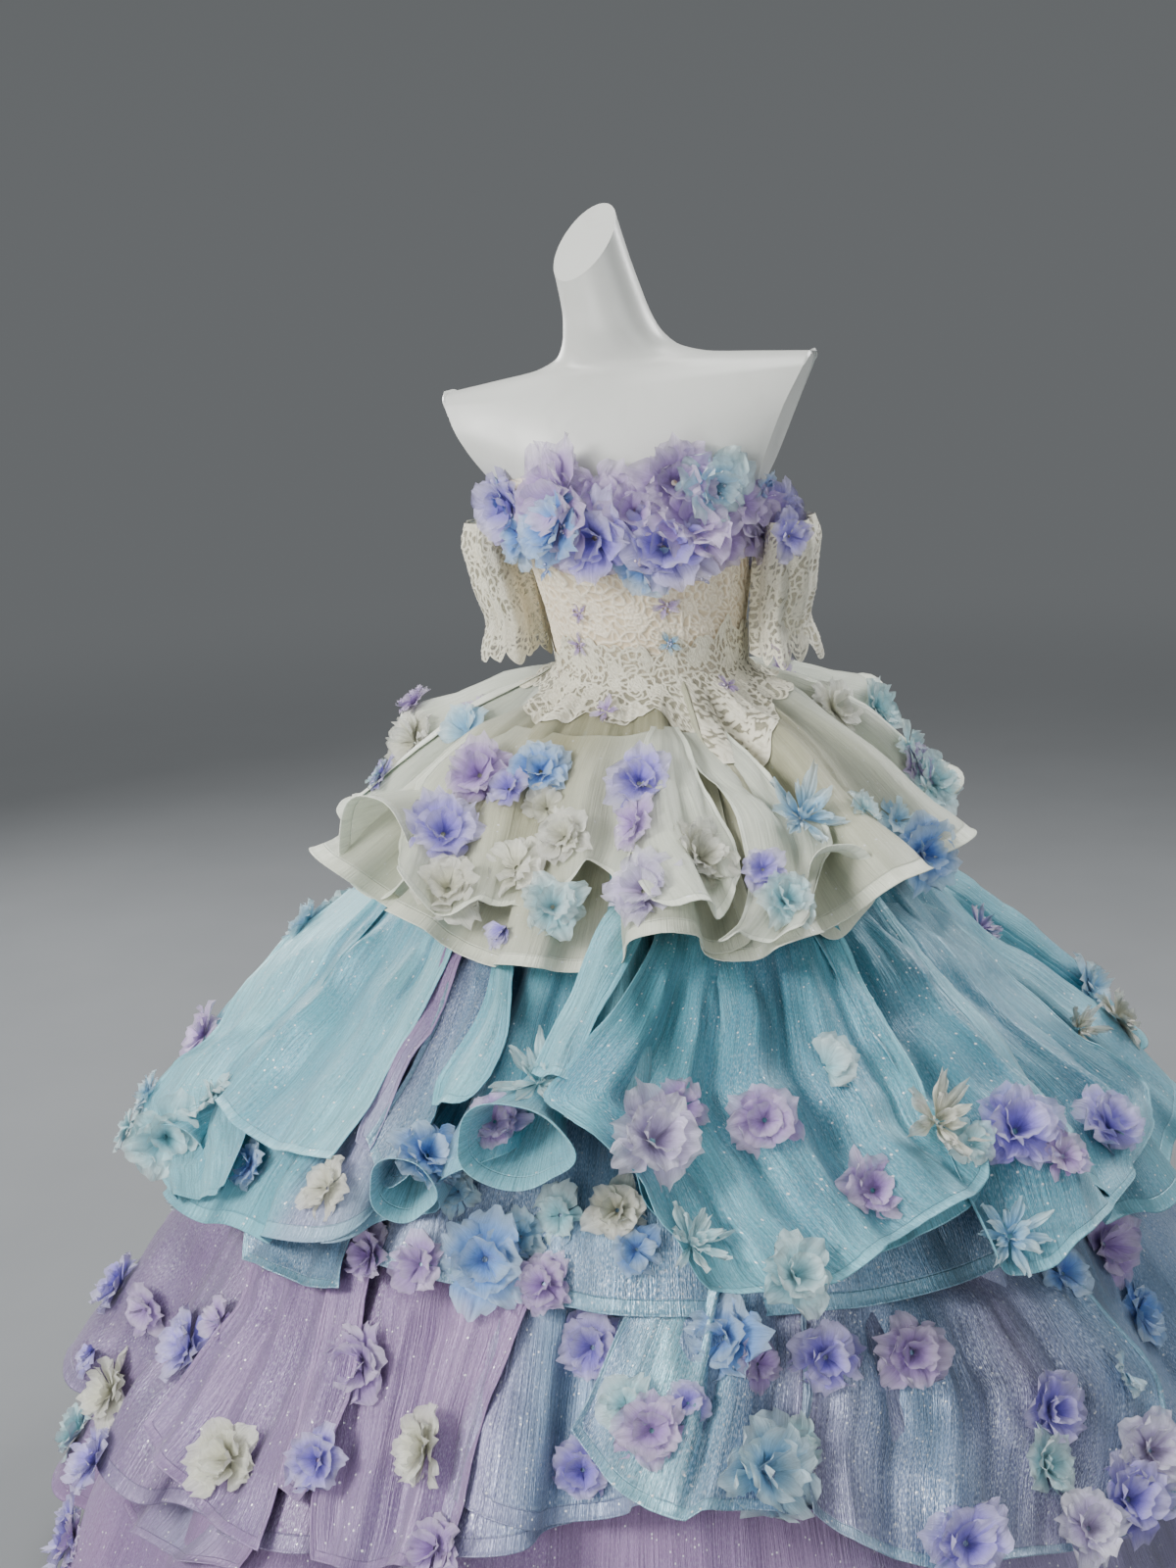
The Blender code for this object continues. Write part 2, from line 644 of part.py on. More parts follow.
def add_flowers(panel, surface, rows):
    """Fuses rosettes to the panel. Each stands on the facet nearest to its place."""
    points, faces = [], []
    centres = np.array([tuple(f.center) for f in panel.data.polygons])
    normals = np.array([tuple(f.normal) for f in panel.data.polygons])
    for number, (_, degrees, share, radius) in enumerate(rows):
        angle, down = np.array([math.radians(degrees)]), np.array([share])
        place = surface(angle, down)[0]
        outward = normals_of(surface, angle, down)[0]
        distance = np.linalg.norm(centres - place, axis=1)
        distance[normals @ outward < FACING_OUTWARD] = np.inf
        nearest = int(distance.argmin())
        stand = facing(centres[nearest] - normals[nearest] * FLOWER_SINK, normals[nearest], number)
        own_points, own_faces = rosette(radius)
        first = len(points)
        points += [tuple(stand @ Vector(p)) for p in own_points]
        faces += [tuple(first + c for c in f) for f in own_faces]
    flowers = link_mesh(panel.name + "_flowers", points, faces, "petals")
    combine(panel, flowers, "UNION")


# ---------------------------------------------------------------- dress form


def turned_solid(name, profile, colour):
    """A solid turned about Z from (radius, height) corners, bottom to top, first and last on the axis."""
    work = bmesh.new()
    points = [work.verts.new((radius, 0, height)) for radius, height in profile]
    edges = [work.edges.new(pair) for pair in zip(points, points[1:])]
    bmesh.ops.spin(
        work, geom=points + edges, axis=(0, 0, 1), cent=(0, 0, 0), steps=ROUND_STEPS, angle=2 * math.pi
    )
    bmesh.ops.remove_doubles(work, verts=work.verts, dist=1e-6)
    return finish_bmesh(name, work, colour)


def make_base():
    edge = 0.003
    turned_solid(
        "form_base",
        (
            (0, 0),
            (BASE_RADIUS, 0),
            (BASE_RADIUS, BASE_THICK - edge),
            (BASE_RADIUS - edge, BASE_THICK),
            (POLE_COLLAR_RADIUS, BASE_THICK),
            (POLE_COLLAR_RADIUS - edge, BASE_THICK + POLE_COLLAR_TALL),
            (0, BASE_THICK + POLE_COLLAR_TALL),
        ),
        "base_white",
    )


def make_pole():
    low = BASE_THICK + POLE_COLLAR_TALL + GAP
    high = FORM_BOTTOM - GAP
    turned_solid("form_pole", ((0, low), (POLE_RADIUS, low), (POLE_RADIUS, high), (0, high)), "steel")


def form_grid():
    """Angles and heights of the form's points. Under the bodice they are the bodice's own."""
    angle = around()
    flat = np.ones(BODY_COLUMNS)
    heights = [h * flat for h in FORM_HEIGHTS_BELOW]
    heights += [bodice_height(angle, k / BODICE_ROWS) for k in range(BODICE_ROWS + 1)]
    heights.append((bodice_height(angle, 1) + FORM_HEIGHTS_ABOVE[0]) / 2)
    heights += [h * flat for h in FORM_HEIGHTS_ABOVE]
    heights = np.array(heights)
    return np.broadcast_to(angle, heights.shape), heights


def cut_flat(work, point, normal, beyond):
    """Cuts away what lies further than beyond a plane and closes the cut with one flat face."""
    everything = work.verts[:] + work.edges[:] + work.faces[:]
    normal = Vector(normal).normalized()
    done = bmesh.ops.bisect_plane(
        work,
        geom=everything,
        plane_co=Vector(point) + normal * beyond,
        plane_no=normal,
        clear_outer=True,
        dist=1e-6,
    )
    rim = [e for e in done["geom_cut"] if isinstance(e, bmesh.types.BMEdge)]
    bmesh.ops.contextual_create(work, geom=rim)


def form_mesh(grow):
    """The form's closed body as a bmesh, grown outwards by grow."""
    angle, heights = form_grid()
    surface = torso_surface(angle, heights) + torso_normals(angle, heights) * (grow - CLOTH - GAP)
    rows, columns = heights.shape
    work = bmesh.new()
    points = [work.verts.new(p) for p in surface.reshape(-1, 3)]
    for i in range(rows - 1):
        for j in range(columns):
            k = (j + 1) % columns
            a, b = i * columns, (i + 1) * columns
            work.faces.new([points[n] for n in (a + j, a + k, b + j)])
            work.faces.new([points[n] for n in (a + k, b + k, b + j)])
    work.faces.new([points[j] for j in reversed(range(columns))])
    work.faces.new([points[(rows - 1) * columns + j] for j in range(columns)])
    cut_flat(work, NECK_CUT_POINT, NECK_CUT_NORMAL, grow)
    for v in work.verts:
        if v.co.z < (FORM_HEIGHTS_BELOW[0] + FORM_HEIGHTS_BELOW[1]) / 2:
            v.co.z = FORM_BOTTOM
    return work


def make_form():
    finish_bmesh("form_body", form_mesh(0), "form_white")


# ---------------------------------------------------------------- bodice, sleeves, trims


def make_bodice():
    share = np.linspace(1, 0, BODICE_ROWS + 1)[:, None]
    for node, start, end in BODICE_PANELS:
        columns = BODY_COLUMNS * (end - start) // 360
        angle = wrapped(np.radians(np.linspace(start, end, columns + 1)))[None, :]
        angle = angle + 0 * share
        heights = bodice_height(angle, share + 0 * angle)
        outer = torso_surface(angle, heights)
        inner = outer - CLOTH * torso_normals(angle, heights)
        wall_object(node, pull_in_sides(outer), pull_in_sides(inner), False, "lace")


def sleeve_rings(side, thinner):
    """Rings of a sleeve, top first, hung clear of the bodice's side and of the band on it."""
    turn = np.arange(SLEEVE_COLUMNS) * 2 * math.pi / SLEEVE_COLUMNS
    pleat = SLEEVE_PLEAT_OUT * (np.cos(SLEEVE_PLEATS * turn) - 1) / 2
    rings = []
    for height, half_width, half_depth, stand_off in SLEEVE_SECTIONS:
        beside = torso_surface(np.array(side * math.pi / 2), np.array(height))[0]
        middle = beside + side * (BAND_THICK + 2 * GAP + stand_off + half_width)
        x = middle - side * (half_width + pleat - thinner) * np.cos(turn)
        y = (half_depth + pleat - thinner) * np.sin(turn)
        rings.append(np.stack([x, y, height + 0 * turn], axis=-1))
    return np.array(rings)


def make_sleeves():
    for node, side in (("sleeve_left", 1), ("sleeve_right", -1)):
        wall_object(node, sleeve_rings(side, 0), sleeve_rings(side, CLOTH), True, "lace")


def band_rings(extra):
    """The neckline band's two rings: the bodice's own points in two of its rows, moved out by extra."""
    angle = around()
    heights = [bodice_height(angle, row / BODICE_ROWS) for row in BAND_ROWS]
    return np.array([torso_surface(angle, at) + torso_normals(angle, at) * (GAP + extra) for at in heights])


def sleeve_clearance(side):
    """A closed block that fills and covers a sleeve, which nothing on the neckline may enter."""
    rings = sleeve_rings(side, -2 * GAP)
    top, bottom = rings[0].copy(), rings[-1].copy()
    top[:, 2] += 2 * GAP
    bottom[:, 2] -= 2 * GAP
    work = bmesh.new()
    loops = [[work.verts.new(p) for p in ring] for ring in (top, *rings[1:-1], bottom)]
    for upper, lower in zip(loops, loops[1:]):
        for j in range(SLEEVE_COLUMNS):
            k = (j + 1) % SLEEVE_COLUMNS
            work.faces.new((upper[j], lower[j], lower[k], upper[k]))
    work.faces.new(loops[0])
    work.faces.new(loops[-1])
    return finish_bmesh("sleeve_clearance", work, "lace")


def make_neckline_flowers():
    band = wall_object("neckline_flowers", band_rings(BAND_THICK), band_rings(0), True, "petals")
    for number, (degrees, radius, up, rise) in enumerate(NECKLINE_FLOWERS):
        angle = wrapped(np.array(math.radians(degrees)))
        at = bodice_height(angle, BAND_FLOWERS_AT)
        outward = torso_normals(angle, at)
        place = torso_surface(angle, at) + outward * (GAP + BAND_THICK / 2) + np.array((0, 0, rise))
        stand = facing(place, (Vector(outward) + Vector((0, 0, up))).normalized(), number)
        points, faces = rosette(radius)
        flower = link_mesh("flower", [tuple(stand @ Vector(p)) for p in points], faces, "petals")
        combine(band, flower, "UNION")
    form_clearance = form_mesh(CLOTH + GAP + FLOWER_GAP)
    combine(band, finish_bmesh("form_clearance", form_clearance, "form_white"), "DIFFERENCE")
    for side in (1, -1):
        combine(band, sleeve_clearance(side), "DIFFERENCE")


def make_waist_lace():
    angle = around()
    peplum = tier_surface(PEPLUM)
    drop = smooth_around(WAIST_LACE_DROP, angle)
    hem = smooth_around(PEPLUM["hem"], angle)
    inner, outer = [], []
    top = bodice_height(angle, WAIST_LACE_TOP_ROW / BODICE_ROWS)
    on_bodice, out_bodice = torso_surface(angle, top), torso_normals(angle, top)
    inner.append(on_bodice + out_bodice * GAP)
    outer.append(on_bodice + out_bodice * (GAP + LACE))
    for row in WAIST_LACE_ROWS:
        share = drop * row / hem
        on_peplum = peplum(angle, share)
        out_peplum = normals_of(peplum, angle, share)
        inner.append(on_peplum + out_peplum * WAIST_LACE_ON_PEPLUM)
        outer.append(on_peplum + out_peplum * (WAIST_LACE_ON_PEPLUM + LACE))
    wall_object("waist_lace", np.array(outer), np.array(inner), True, "lace")


def main():
    clear_scene()
    make_base()
    make_pole()
    make_form()
    make_bodice()
    make_sleeves()
    make_neckline_flowers()
    make_waist_lace()
    for row in PANELS:
        make_panel(*row)


main()
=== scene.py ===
"""Ball gown on a dress form: the finish of every surface.

Metres, +Z up. The gown faces -Y. An angle round the gown is 0 at centre front and grows towards +X, the
wearer's left. "Along" is a length measured down the skirt's slope from the waist, and a share runs from a
tier's top seam, 0, to its hem, 1. Lace and cloth patterns are measured in metres on the cloth itself.
"""

import math

import bmesh
import bpy
import numpy as np
from bpy.props import FloatProperty, PointerProperty
from mathutils import Matrix, Vector
from mathutils.bvhtree import BVHTree


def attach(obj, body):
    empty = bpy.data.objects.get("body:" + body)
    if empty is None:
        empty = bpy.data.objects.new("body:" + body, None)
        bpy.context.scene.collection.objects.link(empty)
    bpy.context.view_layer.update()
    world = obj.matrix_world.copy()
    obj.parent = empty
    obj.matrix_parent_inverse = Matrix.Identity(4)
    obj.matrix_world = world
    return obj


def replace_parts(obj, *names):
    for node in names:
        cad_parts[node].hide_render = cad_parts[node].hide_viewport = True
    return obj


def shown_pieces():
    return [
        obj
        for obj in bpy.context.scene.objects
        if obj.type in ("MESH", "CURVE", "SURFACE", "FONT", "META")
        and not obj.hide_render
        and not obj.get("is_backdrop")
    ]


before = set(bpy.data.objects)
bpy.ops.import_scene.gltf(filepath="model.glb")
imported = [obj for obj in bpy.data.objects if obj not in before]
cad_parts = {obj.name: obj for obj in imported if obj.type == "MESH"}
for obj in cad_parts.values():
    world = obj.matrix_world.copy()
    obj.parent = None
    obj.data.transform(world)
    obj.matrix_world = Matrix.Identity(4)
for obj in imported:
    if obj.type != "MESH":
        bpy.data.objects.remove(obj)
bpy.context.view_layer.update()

bl_info = {
    "name": "Ball gown",
    "version": (1, 0, 0),
    "blender": (4, 5, 0),
    "location": "View3D > Sidebar > Gown",
    "description": "Ball gown with a lace bodice, a fluted peplum and flowered tiers, on its dress form",
    "category": "Add Mesh",
}

# ---- sizes shared with the solids

CLOTH = 0.0022  # thickness of a solid's cloth wall
GAP = 0.0004  # clearance between neighbouring solids
STEP = 1e-4  # step of the differences that give a surface its normals
MILLIMETRES = 1000  # to a metre

# Outer face of the bodice, carried on down to the hips and up to the neck of the form under it
TORSO = (
    # height, half_width, front_depth, back_depth, shift_x, shift_y
    (0.88, 0.15, 0.108, 0.124, 0, 0),
    (0.93, 0.152, 0.11, 0.126, 0, 0),
    (0.99, 0.138, 0.103, 0.114, 0, 0),
    (1.04, 0.117, 0.094, 0.098, 0, 0),
    (1.082, 0.102, 0.086, 0.086, 0, 0),
    (1.13, 0.105, 0.092, 0.088, -0.003, 0),
    (1.18, 0.114, 0.102, 0.092, -0.006, 0),
    (1.225, 0.124, 0.108, 0.097, -0.009, 0),
    (1.265, 0.131, 0.106, 0.102, -0.011, 0),
    (1.3, 0.172, 0.098, 0.104, -0.013, 0),
    (1.335, 0.215, 0.088, 0.102, -0.015, 0),
    (1.365, 0.245, 0.075, 0.094, -0.016, 0),
    (1.39, 0.25, 0.061, 0.08, -0.016, 0),
    (1.401, 0.215, 0.053, 0.069, -0.017, 0),
    (1.409, 0.15, 0.048, 0.06, -0.019, -0.001),
    (1.416, 0.092, 0.046, 0.054, -0.022, -0.002),
    (1.428, 0.064, 0.047, 0.05, -0.026, -0.004),
    (1.448, 0.052, 0.048, 0.048, -0.031, -0.008),
    (1.475, 0.046, 0.046, 0.046, -0.036, -0.012),
    (1.53, 0.042, 0.044, 0.044, -0.048, -0.021),
    (1.62, 0.04, 0.042, 0.042, -0.068, -0.036),
)
BUST_OUT = 0.016
BUST_ANGLE = math.radians(30)
BUST_WIDE = math.radians(19)
BUST_HEIGHT = 1.222
BUST_TALL = 0.036
ARM_CUT_HEIGHT = 1.268  # the flat faces where arms would be start here and lean outwards
ARM_CUT_REACH = 0.1325
ARM_CUT_LEAN = 0.5
SHOULDER_TILT = 0.085
TILT_FROM = 1.25
TILT_TALL = 0.12
FORM_BOTTOM = 0.88
NECK_CUT_POINT = (-0.05, -0.028, 1.53)
NECK_CUT_NORMAL = (-0.46, -0.62, 0.63)

WAIST_HEIGHT = 1.0822
NECKLINE = (
    # angle, height
    (-180, 1.24), (-120, 1.25), (-85, 1.266), (-30, 1.304), (0, 1.286), (30, 1.304), (85, 1.266),
    (120, 1.25),
)
SLEEVE_SECTIONS = (
    # height, half_width, half_depth, stand_off
    (1.246, 0.029, 0.048, 0),
    (1.218, 0.034, 0.056, 0),
    (1.178, 0.034, 0.058, 0.002),
    (1.142, 0.031, 0.055, 0.005),
    (1.112, 0.036, 0.062, 0.006),
)
BAND_THICK = 0.004  # of the neckline band, which the sleeves hang clear of

SLOPE = (
    # radius, height
    (0.1022, 1.0816), (0.19, 0.985), (0.268, 0.858), (0.445, 0.6), (0.585, 0.3), (0.675, 0.008),
)
WAIST_DEPTH_SHARE = 0.84  # its depth over its width at the waist
ROUND_FROM_ALONG = 0.3  # and from here down it is round
SIDE_SHAPES = (
    # angle, half_width, along, half_length, share of the slope's radius that is taken off
    (95, 45, 0.37, 0.15, 0.11),
    (-72, 40, 0.42, 0.2, -0.035),
)


def smooth_through(knots, values, x):
    """Monotone cubic curve through the knots, read at x."""
    knots, values = np.asarray(knots, float), np.asarray(values, float)
    step = np.diff(knots)
    slope = np.diff(values) / step
    product = slope[:-1] * slope[1:]
    total = slope[:-1] + slope[1:]
    turning = product <= 0
    middle = np.where(turning, 0.0, 2 * product / np.where(turning, 1.0, total))
    tangent = np.concatenate([slope[:1], middle, slope[-1:]])
    i = np.clip(np.searchsorted(knots, x, side="right") - 1, 0, len(step) - 1)
    t = (x - knots[i]) / step[i]
    rise = values[i + 1] - values[i]
    return (
        values[i]
        + rise * t * t * (3 - 2 * t)
        + step[i] * tangent[i] * t * (1 - t) ** 2
        - step[i] * tangent[i + 1] * t * t * (1 - t)
    )


def smooth_around(rows, angle):
    """A table of (degrees, value) read all the way round at an angle in radians."""
    degrees, values = column(rows, 0), column(rows, 1)
    knots = np.concatenate([degrees - 360, degrees, degrees + 360])
    turned = (np.degrees(angle) + 180) % 360 - 180
    return smooth_through(knots, np.tile(values, 3), turned)


def ease(x):
    """0 below 0, 1 above 1, and smooth between."""
    x = np.clip(x, 0, 1)
    return x * x * (3 - 2 * x)


def bell(x, wide):
    """Bell curve, exp(-(x / wide)^2)."""
    return np.exp(-((x / wide) ** 2))


def stacked(*parts):
    """Arrays side by side on a new last axis."""
    return np.stack(np.broadcast_arrays(*parts), axis=-1)


def column(rows, index):
    return np.array([row[index] for row in rows], float)


def wrapped(angle):
    """The angle in the range from -pi to pi."""
    return (angle + math.pi) % (2 * math.pi) - math.pi


def normals_of(surface, first, second):
    """Unit normals of surface(first, second): the way its second parameter runs crossed with its first."""
    along_first = surface(first + STEP, second) - surface(first - STEP, second)
    along_second = surface(first, second + STEP) - surface(first, second - STEP)
    normal = np.cross(along_second, along_first)
    return normal / np.linalg.norm(normal, axis=-1, keepdims=True)


def torso_surface(angle, height):
    """Outer face of the bodice and of the form: at each height two half ellipses, front and back, with a bump
    of two bell curves for each breast, cut flat beyond the arms' reach and shifted sideways with height."""
    half_width, front, back, shift_x, shift_y = (
        smooth_through(column(TORSO, 0), column(TORSO, k), height) for k in range(1, 6)
    )
    depth = np.where(np.cos(angle) > 0, front, back)
    across = bell(np.abs(wrapped(angle)) - BUST_ANGLE, BUST_WIDE)
    bust = BUST_OUT * across * bell(height - BUST_HEIGHT, BUST_TALL)
    reach = ARM_CUT_REACH + ARM_CUT_LEAN * (height - ARM_CUT_HEIGHT)
    reach = np.where(height > ARM_CUT_HEIGHT, reach, np.inf)
    x = np.clip((half_width + bust) * np.sin(angle), -reach, reach) + shift_x
    y = -(depth + bust) * np.cos(angle) + shift_y
    z = height + SHOULDER_TILT * x * ease((height - TILT_FROM) / TILT_TALL)
    return stacked(x, y, z)


def torso_normals(angle, height):
    return -normals_of(torso_surface, angle, height)


def bodice_height(angle, share):
    """Height on the bodice at a share of the way from the waist to the neckline."""
    return WAIST_HEIGHT + share * (smooth_around(NECKLINE, angle) - WAIST_HEIGHT)


SLOPE_STEPS = np.hypot(np.diff(column(SLOPE, 0)), np.diff(column(SLOPE, 1)))
SLOPE_ALONG = np.concatenate([[0], np.cumsum(SLOPE_STEPS)])
SLOPE_END = SLOPE_ALONG[-1]


def slope_surface(angle, along):
    """The smooth slope that all skirt tiers are lifted from: an oval at the waist that turns round."""
    radius = smooth_through(SLOPE_ALONG, column(SLOPE, 0), along)
    height = smooth_through(SLOPE_ALONG, column(SLOPE, 1), along)
    for degrees, half_width, middle, half_length, less in SIDE_SHAPES:
        across = wrapped(angle - math.radians(degrees)) / math.radians(half_width)
        radius = radius * (1 - less * np.exp(-(across**2) - ((along - middle) / half_length) ** 2))
    share = WAIST_DEPTH_SHARE + (1 - WAIST_DEPTH_SHARE) * ease(along / ROUND_FROM_ALONG)
    return stacked(radius * np.sin(angle), -radius * share * np.cos(angle), height)


# ---- dyes


def linear(red, green, blue):
    """A colour, given 0 to 255 a channel, in the linear light that shaders count in."""
    share = np.array((red, green, blue)) / 255
    return tuple(np.where(share > 0.04045, ((share + 0.055) / 1.055) ** 2.4, share / 12.92).tolist())


DYES = {
    "ivory": linear(228, 233, 216),
    # The next, a deeper, warmer cream, is partly painted shade, where the peplum lies in shadow
    "oat": linear(192, 189, 152),
    "turquoise": linear(90, 166, 184),
    # The next, a deeper turquoise, is painted shade where it is laid on the side away from the key light
    "teal": linear(66, 136, 158),
    "aqua": linear(138, 200, 212),
    "silver_blue": linear(110, 144, 176),
    "steel_blue": linear(80, 110, 142),
    "lilac": linear(150, 122, 166),
    "mauve": linear(130, 104, 148),
    "silver_lilac": linear(138, 134, 168),
}


def front_and_back(*creases):
    """The front's creases, and like ones mirrored onto the back."""
    return creases + tuple((180 - angle, -lean, *rest) for angle, lean, *rest in creases)


# Tiers. top: along its top seam. roll: how far the hem's wire rolls it out. grow: power of the share that its
# folds grow by. curl: how far their sides are swept. fade: (dye, how much of it there is at the hem). lift:
# (along, height of the cloth's outer face over the slope). hem: (angle, along). folds: (angle, half_width, out)
# of the flutes that stand out at the hem. dyes: (angle, dye). creases: (angle at the top, lean, from share, to
# share, width, out). Angles are in degrees, lengths in metres, and outs in millimetres, below 0 for a trough.
PEPLUM = {
    "top": 0, "roll": 0.006, "grow": 1.15, "curl": 0.26, "fade": ("ivory", 0.8),
    "lift": ((0, 0.0052), (0.06, 0.0135), (0.13, 0.0245), (0.27, 0.05), (0.4, 0.08)),
    "hem": ((-170, 0.255), (-140, 0.245), (-112, 0.2), (-82, 0.262), (-52, 0.29), (-32, 0.308), (-10, 0.335),
        (2, 0.325), (14, 0.305), (28, 0.325), (40, 0.305), (56, 0.278), (85, 0.265), (112, 0.245), (146, 0.195),
        (166, 0.24)),
    "folds": ((-167, 13, 60), (-140, 13, 60), (-112, 14, 105), (-82, 14, 60), (-52, 15, 86), (-30, 11, 56),
        (-9, 9, 36), (13, 11, 66), (33, 9, 50), (54, 12, 80), (84, 13, 60), (114, 14, 70), (146, 16, 115),
        (172, 10, 45)),
    # Its deeper cream across the front, faded to ivory towards the hem, is partly painted shade: darker near
    # the waist, under the lace
    "dyes": ((-180, "ivory"), (-70, "ivory"), (-30, "oat"), (30, "oat"), (60, "oat"), (90, "ivory")),
    "creases": front_and_back((-84, 4, 0, 0.7, 2, 4), (-73, 3, 0.1, 0.9, 2.6, -5), (-64, -4, 0, 0.6, 2, 4),
        (-56, -6, 0.05, 0.5, 1.8, -5), (-47, 5, 0, 0.75, 2.2, 4), (-38, 4, 0, 0.6, 2, -5),
        (-29, 3, 0.05, 0.55, 1.8, 3), (-17, -3, 0, 0.7, 2.2, -5), (-6, -2, 0, 0.45, 1.8, 3),
        (6, 3, 0.05, 0.6, 2, -4), (17, 5, 0, 0.8, 2.2, -6), (29, 4, 0, 0.55, 1.8, 4), (39, 6, 0, 0.85, 2.2, -7),
        (48, 5, 0, 0.7, 1.8, 6), (56, 7, 0, 0.9, 2, -7), (66, 5, 0, 0.75, 1.8, 6), (75, 3, 0.05, 0.9, 2.2, -6),
        (91, -4, 0, 0.7, 2.2, 4)),
}
UPPER_TIER = {
    "top": 0.004, "roll": 0.006, "grow": 1.5, "curl": 0.28, "fade": ("aqua", 0.35),
    "lift": ((0, 0.0026), (0.06, 0.0062), (0.13, 0.0125), (0.3, 0.026), (0.5, 0.049), (0.64, 0.067),
        (0.8, 0.078)),
    "hem": ((-170, 0.69), (-140, 0.7), (-110, 0.69), (-90, 0.705), (-72, 0.69), (-50, 0.66), (-28, 0.625),
        (-12, 0.55), (1, 0.475), (13, 0.56), (24, 0.615), (40, 0.6), (52, 0.56), (63, 0.655), (80, 0.69),
        (100, 0.665), (140, 0.7)),
    "folds": ((-170, 13, 56), (-146, 12, 48), (-122, 12, 60), (-98, 12, 50), (-75, 12, 64), (-50, 13, 34),
        (-27, 12, 46), (-9, 8, 56), (5, 9, 78), (24, 10, 30), (42, 9, 42), (58, 9, 50), (76, 10, 30),
        (97, 12, 34), (120, 12, 48), (143, 12, 58), (167, 12, 46)),
    # From 46 to 85 degrees, on the side away from the key light, the deeper turquoise is painted shade
    "dyes": ((-180, "turquoise"), (-120, "turquoise"), (-80, "aqua"), (-62, "turquoise"), (-40, "turquoise"),
        (-31, "turquoise"), (-27, "lilac"), (-23, "silver_lilac"), (-16, "silver_blue"), (-11, "silver_blue"),
        (-8, "turquoise"), (-3, "turquoise"), (1, "aqua"), (6, "aqua"), (10, "turquoise"), (30, "turquoise"),
        (46, "teal"), (62, "teal"), (85, "teal"), (110, "turquoise"), (150, "turquoise")),
    "creases": front_and_back((-90, -3, 0.35, 1, 1.8, 8), (-81, 3, 0.3, 0.9, 2.2, -11),
        (-66, 3, 0.35, 0.95, 1.6, 7), (-58, -3, 0.3, 1, 1.8, -12), (-49, 4, 0.35, 0.8, 1.4, 6),
        (-41, -4, 0.4, 1, 1.8, -9), (-30, -3, 0.3, 1, 1.2, 12), (-27, -3, 0.3, 1, 1.3, -14),
        (-19, -3, 0.35, 0.9, 1.4, 6), (-13, -2, 0.4, 1, 1.6, -10), (-3, -1, 0.4, 0.95, 1.4, 8),
        (2, 0, 0.4, 1, 1.5, -12), (10, -3, 0.4, 0.95, 1.3, 8), (19, -2, 0.35, 1, 1.5, -9),
        (28, 2, 0.4, 0.9, 1.4, -6), (35, 3, 0.35, 0.8, 1.6, 6), (46, 3, 0.35, 0.95, 1.4, -8),
        (52, 6, 0.3, 1, 1.5, -14), (58, 6, 0.3, 0.95, 1.4, 10), (64, 6, 0.3, 1, 1.5, -12),
        (71, 5, 0.35, 0.9, 1.4, 7), (83, 4, 0.35, 1, 1.8, -9)),
}
UNDER_TIER = {
    "top": 0.13, "roll": 0, "grow": 1.3, "curl": 0.2, "fade": ("aqua", 0.15),
    "lift": ((0.13, 0.0033), (0.2, 0.0095), (0.42, 0.023), (0.66, 0.04), (0.8, 0.05)),
    "hem": ((-150, 0.67), (-90, 0.665), (-45, 0.64), (-20, 0.625), (10, 0.64), (50, 0.655), (90, 0.655),
        (150, 0.67)),
    "folds": ((-160, 15, 16), (-130, 14, 20), (-100, 14, 15), (-70, 14, 20), (-42, 13, 15), (-16, 12, 20),
        (10, 13, 16), (38, 14, 15), (68, 15, 12), (98, 14, 16), (128, 14, 12), (160, 15, 15)),
    "dyes": ((-180, "silver_blue"), (-60, "silver_blue"), (-30, "silver_lilac"), (10, "silver_blue"),
        (60, "silver_blue")),
    "creases": ((-46, 2, 0.5, 1, 1.8, -5), (-33, 2, 0.5, 1, 1.6, 4), (-22, -2, 0.5, 1, 1.6, -5),
        (-9, 2, 0.5, 1, 1.6, 4), (3, 1, 0.4, 1, 1.8, -6), (15, -2, 0.5, 1, 1.6, 4)),
}
